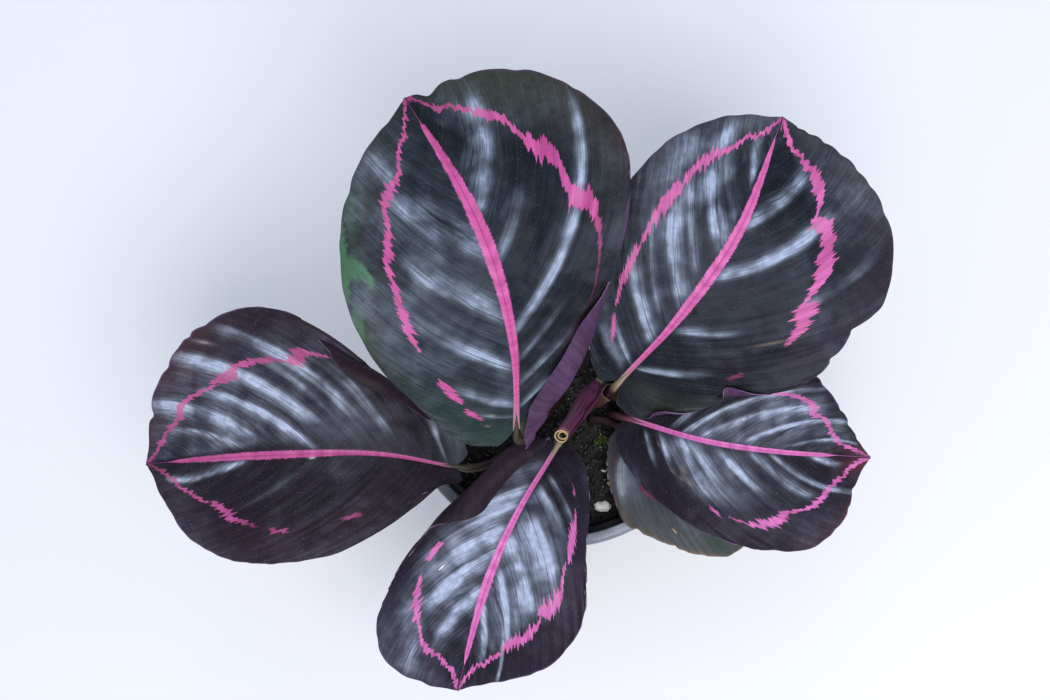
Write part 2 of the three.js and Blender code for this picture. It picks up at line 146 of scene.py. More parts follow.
def bent_grid(name, points):
    """A grid primitive whose rows and columns pass through points: rows x columns x 3, in millimetres."""
    rows, columns = points.shape[:2]
    piece = primitive("grid", name, x_subdivisions=columns - 1, y_subdivisions=rows - 1, size=2)
    piece.data.vertices.foreach_set("co", (points * MM).ravel())
    piece.data.update()
    return piece


def set_uv(piece, u, v):
    """Gives each vertex of a fresh grid its own place on the UV map."""
    mesh = piece.data
    corners = np.empty(len(mesh.loops), int)
    mesh.loops.foreach_get("vertex_index", corners)
    pairs = np.stack([u.ravel()[corners], v.ravel()[corners]], axis=1)
    mesh.uv_layers[0].data.foreach_set("uv", pairs.ravel())


def weld(piece, distance=0.01):
    """Joins points closer than distance, in millimetres, such as a seam or a pole."""
    bpy.context.view_layer.objects.active = piece
    bpy.ops.object.mode_set(mode="EDIT")
    bpy.ops.mesh.select_all(action="SELECT")
    bpy.ops.mesh.remove_doubles(threshold=distance * MM)
    bpy.ops.object.mode_set(mode="OBJECT")


def apply(piece, kind, **settings):
    """Adds a modifier to a piece and applies it."""
    bpy.ops.object.select_all(action="DESELECT")
    piece.select_set(True)
    bpy.context.view_layer.objects.active = piece
    modifier = piece.modifiers.new(kind.title(), kind)
    for key, value in settings.items():
        setattr(modifier, key, value)
    bpy.ops.object.modifier_apply(modifier=modifier.name)


def finish(piece, slot, nodes, *materials):
    """Gives a piece its materials and its place on the frame, and says how fine it is. Its slot is not used."""
    for material in materials:
        piece.data.materials.append(material)
    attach(piece, "root")
    if nodes:
        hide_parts(*nodes)
    triangles = sum(len(face.vertices) - 2 for face in piece.data.polygons)
    print(f"{piece.name}: {triangles} triangles")


print("eased quarter points:", smooth(0, 1, [0.25, 0.5, 0.75]))

# %% [markdown]
# ## Floor and light
# A plain pale floor and soft light, as in a bright room. The shadows in such a room are faint and wide. They
# fall up and left here, so one soft lamp stands below right of the picture and gives about a third of the
# light, and a pale sky all round gives the rest. Three wide panels stand for the bright walls that a satin
# leaf mirrors. The standard view keeps the white floor white.

# %% Floor, lamps and sky
FLOOR_WIDTH = 8.0   # metres
floor = primitive("plane", "floor", size=FLOOR_WIDTH)
# A matt white board, uneven over a metre or more.
floor_paint, tree, shader = new_material("matt_white_board")
across = add(tree, "Mapping", add(tree, "TexCoord", out="Object"), (0.5, 0.5, 0.5), (0, 0, 0),
             [1 / FLOOR_WIDTH] * 3)
tint = add(tree, "Mix", add(tree, "TexNoise", across, 3.0, 3.0), linear("#eff1f5"), linear("#f5f6f9"),
           data_type="RGBA")
plug(shader, {"Base Color": tint, "Roughness": 0.55})
floor.data.materials.append(floor_paint)

lamps = {  # place in metres, size in metres, watts, colour
    "window": ((0.18, -0.34, 0.88), 0.60, 4.7, "#fffaf4"),
    "panel_right": ((1.30, 0.30, 1.10), 0.90, 1.9, "#e4eeff"),
    "panel_left": ((-1.30, 0.20, 1.20), 0.90, 1.8, "#e4eeff"),
    "panel_far": ((-0.10, 1.20, 1.30), 0.80, 2.3, "#e8f0ff"),
}
for name, (place, size, watts, colour) in lamps.items():
    lamp = bpy.data.lights.new(name, "AREA")
    lamp.shape = "DISK"
    lamp.size = size
    lamp.energy = watts
    lamp.color = linear(colour)[:3]
    stand = bpy.data.objects.new(name, lamp)
    stand.location = place
    stand.rotation_euler = (-Vector(place)).to_track_quat("-Z", "Y").to_euler()
    scene.collection.objects.link(stand)

sky = bpy.data.worlds.new("sky")
sky.use_nodes = True
plug(sky.node_tree.nodes["Background"], {"Color": linear("#d2d8e5"), "Strength": 0.88})
scene.world = sky
scene.view_settings.view_transform = "Standard"
print(len(lamps), "lamps and a plain sky")

# %% [markdown]
# ## The leaf as numbers
# A blade of this plant is a midrib with two halves, and each half is a fan of side veins that leave the midrib
# steeply and then run almost along the margin. So every leaf is written flat first: the midrib in space, and
# the outline of each half as [distance along the midrib, distance from it], in millimetres. A place on a half
# is then q, from base to tip along the margin, and t, from the midrib out along the vein. The same numbers
# shaped the plain solids.
#
# What bends a half comes in pairs, left and right. Fold is how many degrees the veins climb at the midrib, and
# camber is how much that changes on the way out. A wave lifts the margin: how many, and how high. A curl rolls
# one margin over. Its begin says at which t it starts for each q, wind over how much of t, and roll how many
# degrees it turns at each q. Lips and dents are small: [side, q, reach in q, degrees or depth]. Side is -1 for
# left and 1 for right.

# %% The six leaves
RIB_HALF = 1.2   # half the midrib's width at the base, in millimetres
leaves = {
    "leaf_a": dict(
        midrib=[[-12, -17, 143], [-11.5, 8, 156], [-16.5, 35, 170], [-28, 62, 173], [-48, 94, 166]],
        left=[[-4, 7], [2, 20], [19, 34], [37.7, 45.7], [60, 50.5], [81.5, 45.9], [102, 33], [116.1, 17.1]],
        right=[[-8, 6], [-5, 12.5], [8, 21.5], [24, 29], [44, 36], [61, 44.5], [75, 52], [92, 55.7], [110, 51],
               [123.3, 40.2], [128.5, 22.1]],
        fold=[5, 5], camber=[-8, -8], wave=[2.5, 1],
        dents=[[1, 0.955, 0.016, 2.6], [1, 0.13, 0.02, 2.0], [1, 0.045, 0.012, 1.5], [1, 0.897, 0.012, 0.9],
               [1, 0.80, 0.012, 0.7], [1, 0.70, 0.010, 0.6], [1, 0.50, 0.010, 1.0], [1, 0.405, 0.008, 1.0],
               [1, 0.335, 0.010, 0.8], [-1, 0.93, 0.02, 0.6], [-1, 0.75, 0.02, 0.5]],
        curl=dict(side=1, begin=[[0, 0.50], [0.06, 0.40], [0.12, 0.40], [0.2, 0.56], [0.3, 0.70]], wind=0.36,
                  roll=[[0, 120], [0.05, 190], [0.16, 198], [0.24, 190], [0.36, 0]])),
    "leaf_b": dict(
        midrib=[[23, 1, 117], [45, 24, 131], [65, 53, 139], [80, 92, 138]],
        left=[[-4, 6], [3, 15], [20, 26], [41, 36], [62, 42], [79.9, 37.8], [94.9, 27.9], [106.3, 14.1]],
        right=[[-9, 5], [-10, 13], [-5, 20], [4, 28], [11, 32], [19, 35], [27, 45], [38, 52], [52.3, 53.6],
               [61.5, 53.3], [72.1, 57.7], [85.5, 56.1], [98.1, 50.9], [108.1, 39.8], [113.3, 21.5]],
        fold=[12, -8], camber=[-6, -8], wave=[3.5, 1.2], lips=[[1, 0.105, 0.03, 190], [1, 0.245, 0.028, 190]],
        dents=[[1, 0.963, 0.006, 0.5], [1, 0.94, 0.008, 0.6], [1, 0.908, 0.008, 0.7], [1, 0.87, 0.010, 0.6],
               [1, 0.828, 0.010, 0.6], [1, 0.793, 0.009, 0.5], [1, 0.74, 0.012, 0.6], [1, 0.55, 0.012, 0.8],
               [1, 0.50, 0.008, 0.9], [1, 0.435, 0.008, 1.2], [1, 0.38, 0.012, 1.0], [-1, 0.5, 0.02, 0.6]]),
    "leaf_c": dict(
        midrib=[[-36, -30, 110], [-66, -25, 121], [-108, -26, 126], [-151, -29, 117]],
        left=[[-2, 5], [6, 8], [16, 14], [29, 26], [43.6, 36], [64, 38.9], [83.7, 37], [100.4, 28.2],
              [111.3, 13.9]],
        right=[[-4, 6], [-1, 11], [8.5, 18], [22.5, 26], [37, 33.5], [50, 39.5], [57, 46], [65.6, 52.2],
               [80, 54.1], [91.6, 51.4], [105.3, 43.9], [116.2, 25.8]],
        fold=[6, 6], camber=[-8, -8], wave=[2.5, 1],
        dents=[[1, 0.448, 0.010, 1.6], [1, 0.405, 0.012, 1.8], [1, 0.362, 0.008, 1.0], [1, 0.71, 0.008, 1.2],
               [1, 0.668, 0.012, 0.8], [1, 0.895, 0.010, 1.4], [1, 0.79, 0.012, 1.0], [-1, 0.85, 0.02, 0.8],
               [-1, 0.70, 0.02, 0.5], [-1, 0.30, 0.02, 0.8]],
        curl=dict(side=1, begin=[[0, 0.66]], wind=0.34, roll=[[0.03, 0], [0.14, 160], [0.28, 200], [0.41, 0]])),
    "leaf_d": dict(
        midrib=[[0.5, -22, 113], [-14, -47, 120], [-25, -73, 119], [-37, -112, 103]],
        left=[[-2, 5], [3, 13], [17, 22], [33, 29], [50, 36.2], [66, 35.7], [79.8, 27.7], [91.4, 14.5]],
        right=[[-2, 6.5], [4, 16.5], [14, 25], [28, 28], [42, 26], [54.1, 28.4], [66.1, 32.5], [78.1, 34.7],
               [89.8, 35.2], [102.3, 29.2], [105.9, 14]],
        fold=[6, 6], camber=[-8, -8], wave=[3, 1],
        dents=[[1, 0.50, 0.015, 0.8], [1, 0.575, 0.012, 0.7], [1, 0.90, 0.02, 0.7], [-1, 0.44, 0.02, 0.8],
               [-1, 0.30, 0.010, 0.8], [-1, 0.62, 0.02, 0.7]],
        curl=dict(side=1, begin=[[0, 0.3]], wind=0.7, roll=[[0, 120], [0.06, 220], [0.26, 250], [0.42, 0]])),
    "leaf_e": dict(
        midrib=[[26, -12, 103], [53, -20, 110], [80, -24, 110], [114, -26, 101]],
        left=[[-4, 5], [0, 14], [10, 23], [24, 31], [40, 35], [54, 34.5], [66, 29], [75.4, 20.3], [83.5, 10.4]],
        right=[[-5, 4], [-2, 13], [8, 22], [23, 29], [40, 34], [58, 36.4], [74.3, 34.5], [85.4, 24.2],
               [88.3, 10.1]],
        fold=[2, 0], camber=[-8, -8], wave=[3, 1.2], lips=[[-1, 0.05, 0.08, 170]],
        dents=[[-1, 0.64, 0.010, 0.6], [-1, 0.72, 0.012, 0.5], [-1, 0.82, 0.010, 0.5], [-1, 0.875, 0.010, 0.6],
               [-1, 0.93, 0.010, 0.5], [1, 0.90, 0.010, 0.6], [1, 0.85, 0.010, 0.6], [1, 0.78, 0.012, 0.5],
               [1, 0.60, 0.02, 0.5]]),
    "leaf_f": dict(
        midrib=[[22, -15, 90], [38, -27, 96], [56, -41, 98], [73, -56, 92]],
        left=[[-1, 6], [8, 13], [20, 18], [34, 20], [48, 16], [59, 9]],
        right=[[0, 6], [6, 14], [14, 21], [25.6, 27.3], [38, 24.8], [51.5, 20.3], [63.6, 12.1]],
        fold=[3, 3], camber=[-5, -5], wave=[2, 0.8],
        dents=[[1, 0.30, 0.02, 0.8], [1, 0.45, 0.015, 0.9], [1, 0.62, 0.015, 0.8]]),
}
print(len(leaves), "leaves written as a midrib and two outlines each")

# %% [markdown]
# ## Where the colour lies
# A thin pink ring runs round each leaf, about two thirds of the way to the margin, and breaks into strokes. Its
# ragged edges follow the side veins. Each stroke below is a line of [q, t, half its width in t, and how dark it
# has turned], from base to tip. Every second stroke is drawn in a set of its own, so neighbours may overlap.
# The pink midrib stripe is [part of the length, half its width in millimetres].

# %% Ring strokes and midrib stripes
rings = {
    "leaf_a": dict(left=[
        [[0.275, 0.26, 0, 0.2], [0.30, 0.275, 0.05], [0.345, 0.305, 0.05], [0.365, 0.32, 0]],
        [[0.385, 0.34, 0], [0.41, 0.375, 0.07], [0.455, 0.41, 0.07], [0.475, 0.44, 0]],
        [[0.53, 0.54, 0], [0.55, 0.57, 0.04], [0.574, 0.60, 0.055], [0.606, 0.62, 0.05], [0.641, 0.66, 0.032],
         [0.676, 0.71, 0.032], [0.713, 0.71, 0.04], [0.753, 0.72, 0.03], [0.786, 0.76, 0.036],
         [0.823, 0.74, 0.042], [0.868, 0.665, 0.034], [0.90, 0.71, 0.028], [0.93, 0.69, 0.028],
         [0.97, 0.62, 0.02, 0.2], [1, 0.6, 0.02, 0.3]]],
        right=[
        [[0.53, 0.40, 0, 1], [0.56, 0.43, 0.014, 0.9], [0.60, 0.49, 0.02, 0.8], [0.64, 0.55, 0.03, 0.4],
         [0.67, 0.58, 0.05], [0.69, 0.57, 0.055], [0.71, 0.535, 0.065], [0.73, 0.525, 0.05],
         [0.746, 0.56, 0.045], [0.765, 0.62, 0.06], [0.79, 0.615, 0.07], [0.81, 0.61, 0.06],
         [0.825, 0.62, 0.03], [0.843, 0.68, 0.035], [0.86, 0.70, 0.045], [0.883, 0.71, 0.05],
         [0.905, 0.715, 0.035], [0.933, 0.72, 0.026, 0.3], [0.96, 0.74, 0.022, 0.4], [1, 0.72, 0.02, 0.6]]]),
    "leaf_b": dict(left=[
        [[0.33, 0.28, 0, 0.3], [0.352, 0.29, 0.022], [0.40, 0.31, 0.055], [0.441, 0.345, 0.055],
         [0.46, 0.36, 0]],
        [[0.47, 0.40, 0], [0.504, 0.43, 0.04], [0.566, 0.49, 0.055], [0.603, 0.53, 0.06], [0.62, 0.54, 0]],
        [[0.61, 0.53, 0], [0.626, 0.56, 0.03], [0.653, 0.62, 0.05], [0.701, 0.66, 0.075],
         [0.731, 0.69, 0.075], [0.745, 0.70, 0]],
        [[0.73, 0.64, 0], [0.738, 0.66, 0.04], [0.756, 0.71, 0.042], [0.791, 0.74, 0.05],
         [0.833, 0.74, 0.05], [0.878, 0.70, 0.035], [0.925, 0.71, 0.03], [0.963, 0.59, 0.022, 0.2],
         [1, 0.5, 0.02, 0.3]]],
        right=[
        [[0.42, 0.48, 0, 1], [0.446, 0.48, 0.05, 0.8], [0.47, 0.48, 0, 1]],
        [[0.575, 0.54, 0, 0.4], [0.596, 0.55, 0.035, 0.3], [0.62, 0.55, 0.042, 0.1], [0.651, 0.55, 0.045],
         [0.668, 0.54, 0.085], [0.685, 0.53, 0.07], [0.698, 0.51, 0]],
        [[0.688, 0.50, 0], [0.698, 0.515, 0.02], [0.71, 0.54, 0.035], [0.728, 0.585, 0.06],
         [0.753, 0.61, 0.08], [0.771, 0.61, 0.075], [0.782, 0.64, 0.06], [0.80, 0.66, 0.065],
         [0.812, 0.65, 0.08], [0.828, 0.60, 0.07], [0.84, 0.57, 0]],
        [[0.828, 0.58, 0], [0.838, 0.61, 0.018], [0.848, 0.66, 0.045], [0.865, 0.71, 0.075],
         [0.885, 0.72, 0.07], [0.905, 0.725, 0.055], [0.94, 0.67, 0.035], [1, 0.5, 0.02, 0.3]]]),
    "leaf_c": dict(left=[
        [[0.53, 0.44, 0, 0.7], [0.561, 0.46, 0.045, 0.45], [0.59, 0.48, 0, 0.7]],
        [[0.655, 0.63, 0, 0.7], [0.681, 0.64, 0.032, 0.3], [0.71, 0.64, 0, 0.7]],
        [[0.72, 0.65, 0, 0.8], [0.758, 0.66, 0.02, 0.6], [0.775, 0.665, 0.035, 0.2], [0.798, 0.66, 0.045],
         [0.82, 0.65, 0.035], [0.84, 0.64, 0.045], [0.853, 0.64, 0]],
        [[0.848, 0.66, 0], [0.863, 0.68, 0.022], [0.908, 0.69, 0.03], [0.93, 0.68, 0.034],
         [0.948, 0.66, 0.018, 0.3], [1, 0.45, 0.016, 0.7]]],
        right=[
        [[0.575, 0.53, 0], [0.596, 0.56, 0.025], [0.623, 0.59, 0.045], [0.645, 0.57, 0.055],
         [0.66, 0.55, 0.045], [0.673, 0.56, 0.03, 0.2], [0.693, 0.61, 0.03, 0.3], [0.723, 0.65, 0.036, 0.2],
         [0.753, 0.67, 0.032], [0.762, 0.66, 0.045], [0.773, 0.65, 0.06], [0.785, 0.66, 0.055],
         [0.796, 0.69, 0.04], [0.808, 0.70, 0]],
        [[0.80, 0.655, 0], [0.813, 0.67, 0.022], [0.84, 0.72, 0.03], [0.868, 0.76, 0.036],
         [0.885, 0.745, 0.046], [0.90, 0.73, 0.042], [0.92, 0.74, 0.035], [0.953, 0.75, 0.022, 0.2],
         [1, 0.6, 0.016, 0.5]]]),
    "leaf_d": dict(left=[
        [[0.295, 0.36, 0, 0.6], [0.327, 0.38, 0.032, 0.4], [0.36, 0.40, 0, 0.6]],
        [[0.395, 0.43, 0, 0.4], [0.42, 0.46, 0.03, 0.2], [0.455, 0.475, 0.045, 0.1], [0.49, 0.47, 0.07],
         [0.532, 0.49, 0.085], [0.555, 0.52, 0.07], [0.57, 0.54, 0]],
        [[0.575, 0.54, 0, 0.2], [0.60, 0.545, 0.03, 0.2], [0.615, 0.62, 0.045, 0.1], [0.63, 0.655, 0.06],
         [0.676, 0.65, 0.07], [0.711, 0.61, 0.065], [0.728, 0.60, 0]],
        [[0.715, 0.64, 0], [0.728, 0.67, 0.03], [0.756, 0.69, 0.055], [0.805, 0.68, 0.065],
         [0.848, 0.64, 0.065], [0.862, 0.62, 0]],
        [[0.855, 0.65, 0], [0.87, 0.66, 0.028], [0.89, 0.65, 0.03], [0.92, 0.61, 0.028],
         [0.97, 0.40, 0.02], [1, 0.3, 0.016, 0.3]]],
        right=[
        [[0.668, 0.44, 0], [0.680, 0.445, 0.07], [0.700, 0.455, 0.07], [0.712, 0.47, 0]],
        [[0.725, 0.53, 0], [0.738, 0.54, 0.018], [0.758, 0.56, 0.05], [0.786, 0.59, 0.055],
         [0.813, 0.61, 0.055], [0.826, 0.62, 0]],
        [[0.81, 0.58, 0], [0.825, 0.61, 0.022], [0.853, 0.66, 0.028], [0.878, 0.70, 0.048],
         [0.893, 0.67, 0.044], [0.908, 0.62, 0.036], [0.948, 0.55, 0.028], [1, 0.33, 0.016, 0.3]]]),
    "leaf_e": dict(left=[
        [[0.68, 0.60, 0], [0.69, 0.62, 0.025], [0.703, 0.65, 0.055], [0.726, 0.70, 0.05], [0.748, 0.76, 0.04],
         [0.781, 0.79, 0.042], [0.80, 0.77, 0.05], [0.828, 0.72, 0.045], [0.84, 0.70, 0]],
        [[0.82, 0.72, 0], [0.832, 0.74, 0.018], [0.845, 0.76, 0.032], [0.878, 0.74, 0.036],
         [0.90, 0.66, 0.04], [0.923, 0.57, 0.03], [0.948, 0.54, 0.018, 0.1], [1, 0.5, 0.014, 0.5]]],
        right=[
        [[0.573, 0.55, 0, 0.3], [0.587, 0.57, 0.07, 0.25], [0.60, 0.57, 0, 0.3]],
        [[0.615, 0.58, 0, 0.6], [0.633, 0.60, 0.014, 0.4], [0.655, 0.645, 0.026, 0.1], [0.678, 0.66, 0.045],
         [0.706, 0.66, 0.055], [0.728, 0.68, 0.055], [0.745, 0.66, 0.05], [0.761, 0.64, 0.055],
         [0.776, 0.64, 0.02], [0.80, 0.68, 0.02], [0.825, 0.71, 0.036], [0.845, 0.715, 0.042],
         [0.865, 0.71, 0.048], [0.875, 0.71, 0.03], [0.90, 0.71, 0.038], [0.925, 0.70, 0.036],
         [0.95, 0.66, 0.03], [1, 0.4, 0.02, 0.3]]]),
    "leaf_f": dict(left=[], right=[[[0.56, 0.40, 0, 0.4], [0.60, 0.44, 0.03, 0.3], [0.65, 0.47, 0, 0.4]]]),
}
stripes = {
    "leaf_a": [[-0.05, 1.3], [0.1, 1.2], [0.25, 1.6], [0.4, 2.1], [0.52, 2.6], [0.62, 2.5], [0.75, 1.8],
               [0.86, 1.2], [0.905, 0.8], [0.915, 0]],
    "leaf_b": [[-0.05, 0.9], [0.1, 1.05], [0.22, 1.3], [0.33, 1.9], [0.45, 2.2], [0.6, 2.05], [0.72, 1.6],
               [0.85, 1.0], [0.92, 0.45], [0.93, 0]],
    "leaf_c": [[-0.05, 0.5], [0.05, 0.6], [0.2, 0.8], [0.4, 1.3], [0.6, 1.6], [0.78, 1.2], [0.88, 0.8],
               [0.92, 0]],
    "leaf_d": [[-0.05, 0.9], [0.1, 0.9], [0.25, 1.1], [0.42, 1.4], [0.55, 1.8], [0.7, 1.3], [0.84, 0.9],
               [0.895, 0]],
    "leaf_e": [[-0.05, 0.8], [0.05, 1.0], [0.25, 1.0], [0.45, 1.1], [0.62, 1.0], [0.80, 0.8], [0.86, 0]],
    "leaf_f": [[-0.05, 0.9], [0.3, 1.0], [0.7, 0.6], [0.9, 0]],
}
print(sum(len(side) for leaf in rings.values() for side in leaf.values()), "ring strokes")

# %% [markdown]
# ## Where the blade is pleated
# Between its side veins the blade swells into long pleats. On the flank of a pleat that faces the window a soft
# blue-white band is painted into the colour, a painted highlight, and the waxy skin there is smoother. Each row
# is
# one such flank: q at its inner and outer end, t from and to, half its width in q, how strong its painted
# highlight is, and its slope in degrees, uphill to the tip where positive. The rows without a slope are wide and
# dim: there a faint painted sheen covers the whole skin.

# %% Pleat flanks
pleats = {
    "leaf_a": dict(left=[
        [0.83, 0.81, 0.03, 0.72, 0.026, 0.35, 9], [0.738, 0.708, 0.02, 0.60, 0.018, 0.38, -4],
        [0.735, 0.73, 0.04, 0.20, 0.018, 0.45, -4], [0.612, 0.606, 0.02, 0.50, 0.022, 0.38, -9],
        [0.61, 0.61, 0.02, 0.26, 0.018, 0.45, -4], [0.425, 0.445, 0.01, 0.27, 0.030, 0.75, -12],
        [0.30, 0.32, 0.01, 0.2, 0.02, 0.5, -6], [0.838, 0.842, 0.72, 0.95, 0.018, 0.4, 9],
        [0.76, 0.76, 0.35, 1.0, 0.10, 0.10, 0],
        [0.55, 0.55, 0.0, 1.0, 0.30, 0.12, 0]],
        right=[
        [0.882, 0.886, 0.03, 0.80, 0.016, 0.62, 14], [0.703, 0.706, 0.02, 0.90, 0.014, 0.75, 4],
        [0.632, 0.632, 0.02, 0.2, 0.010, 0.4, -6], [0.55, 0.54, 0.01, 0.22, 0.016, 0.55, -7],
        [0.40, 0.40, 0.01, 0.25, 0.03, 0.5, -7], [0.82, 0.817, 0.03, 0.3, 0.012, 0.3, 9],
        [0.90, 0.90, 0.4, 1.0, 0.05, 0.16, 0]]),
    "leaf_b": dict(left=[
        [0.85, 0.865, 0.75, 0.95, 0.022, 0.5, -5], [0.93, 0.94, 0.12, 0.55, 0.012, 0.55, 10],
        [0.842, 0.823, 0.03, 0.62, 0.016, 0.7, 3], [0.728, 0.72, 0.02, 0.60, 0.019, 0.7, -4],
        [0.60, 0.584, 0.01, 0.55, 0.024, 0.8, -11], [0.41, 0.43, 0.02, 0.3, 0.022, 0.5, -14],
        [0.66, 0.66, 0.1, 0.7, 0.010, 0.35, -4], [0.78, 0.77, 0.1, 0.7, 0.010, 0.35, 2],
        [0.88, 0.87, 0.1, 0.6, 0.010, 0.35, 5], [0.76, 0.76, 0.45, 1.0, 0.12, 0.30, 0],
        [0.30, 0.30, 0.05, 0.9, 0.10, 0.35, 0], [0.62, 0.62, 0.0, 1.0, 0.22, 0.10, 0]],
        right=[
        [0.888, 0.902, 0.03, 0.62, 0.012, 0.65, 9], [0.806, 0.816, 0.03, 0.66, 0.013, 1.0, 4],
        [0.668, 0.65, 0.03, 0.22, 0.012, 0.5, -7], [0.41, 0.44, 0.02, 0.28, 0.026, 0.85, -15],
        [0.688, 0.692, 0.5, 0.85, 0.016, 0.25, 5], [0.82, 0.82, 0.6, 1.0, 0.12, 0.10, 0]]),
    "leaf_c": dict(left=[
        [0.895, 0.94, 0.05, 0.7, 0.012, 0.65, 16], [0.80, 0.80, 0.05, 0.5, 0.012, 0.10, 8]],
        right=[
        [0.27, 0.16, 0.03, 0.62, 0.034, 0.7, -14], [0.665, 0.66, 0.2, 0.9, 0.016, 0.65, -6],
        [0.755, 0.76, 0.2, 0.95, 0.015, 0.7, -5], [0.80, 0.82, 0.04, 0.66, 0.009, 0.75, -2],
        [0.863, 0.872, 0.2, 1.0, 0.013, 0.6, 0], [0.89, 0.92, 0.1, 0.66, 0.008, 0.45, 4],
        [0.605, 0.60, 0.12, 0.5, 0.020, 0.4, -7], [0.71, 0.70, 0.25, 0.6, 0.008, 0.3, -6],
        [0.70, 0.70, 0.05, 0.8, 0.16, 0.10, 0], [0.86, 0.86, 0.1, 1.0, 0.10, 0.13, 0]]),
    "leaf_d": dict(left=[
        [0.575, 0.55, 0.04, 0.42, 0.028, 0.6, -5], [0.66, 0.645, 0.10, 0.62, 0.028, 0.8, 4],
        [0.765, 0.745, 0.02, 0.50, 0.020, 0.7, 9], [0.81, 0.84, 0.02, 0.60, 0.014, 0.6, 14],
        [0.885, 0.92, 0.02, 0.50, 0.014, 0.55, 18], [0.855, 0.87, 0.58, 1.0, 0.006, 0.7, 16],
        [0.48, 0.47, 0.06, 0.4, 0.020, 0.4, -8], [0.70, 0.70, 0.0, 0.58, 0.16, 0.36, 0]],
        right=[
        [0.72, 0.72, 0.0, 0.55, 0.15, 0.36, 0], [0.45, 0.45, 0.0, 0.5, 0.12, 0.3, 0],
        [0.80, 0.80, 0.6, 1.0, 0.12, 0.25, 0], [0.61, 0.62, 0.02, 0.3, 0.034, 0.65, -16],
        [0.738, 0.743, 0.02, 0.38, 0.024, 0.7, -10],
        [0.798, 0.808, 0.02, 0.45, 0.018, 0.75, -4], [0.863, 0.888, 0.03, 0.62, 0.016, 0.6, -2],
        [0.845, 0.852, 0.7, 0.92, 0.014, 0.3, -5], [0.67, 0.68, 0.02, 0.3, 0.018, 0.55, -12]]),
    "leaf_e": dict(left=[
        [0.66, 0.735, 0.02, 0.98, 0.010, 0.8, -14], [0.72, 0.80, 0.03, 0.80, 0.014, 0.6, -10],
        [0.81, 0.866, 0.06, 1.0, 0.008, 0.8, -7], [0.885, 0.945, 0.1, 0.85, 0.007, 0.65, -6],
        [0.60, 0.64, 0.02, 0.8, 0.014, 0.5, -14], [0.76, 0.76, 0.0, 0.9, 0.12, 0.3, 0]],
        right=[
        [0.545, 0.51, 0.02, 0.24, 0.018, 0.5, -12], [0.65, 0.61, 0.02, 0.36, 0.016, 0.6, -8],
        [0.69, 0.69, 0.05, 0.24, 0.012, 0.4, -4], [0.758, 0.775, 0.02, 0.36, 0.015, 0.75, 3],
        [0.832, 0.845, 0.02, 0.66, 0.012, 0.5, 9], [0.866, 0.893, 0.03, 1.0, 0.007, 0.65, 12],
        [0.928, 0.945, 0.02, 0.34, 0.012, 0.6, 14], [0.40, 0.38, 0.04, 0.3, 0.03, 0.35, -10],
        [0.60, 0.60, 0.0, 0.45, 0.12, 0.35, 0]]),
    "leaf_f": dict(left=[[0.5, 0.5, 0.05, 0.7, 0.03, 0.3, -5], [0.5, 0.5, 0.0, 1.0, 0.2, 0.35, 0]],
                   right=[[0.42, 0.40, 0.1, 0.7, 0.04, 0.6, -6], [0.72, 0.74, 0.1, 0.7, 0.03, 0.15, 5],
                          [0.40, 0.40, 0.0, 0.7, 0.10, 0.25, 0]]),
}
print(sum(len(side) for leaf in pleats.values() for side in leaf.values()), "pleat flanks")

# %% [markdown]
# ## Where a leaf is stained
# No two leaves are one colour. The old ones turn olive and green at the margin, the young ones are flushed red,
# and there are scars and dry edges. Each stain is [side, q, t, reach in q, reach in t, colour, strength]. A
# strength above 1 gives it a sharp edge. Such stains come last in a leaf's list, or soft ones would cover them.

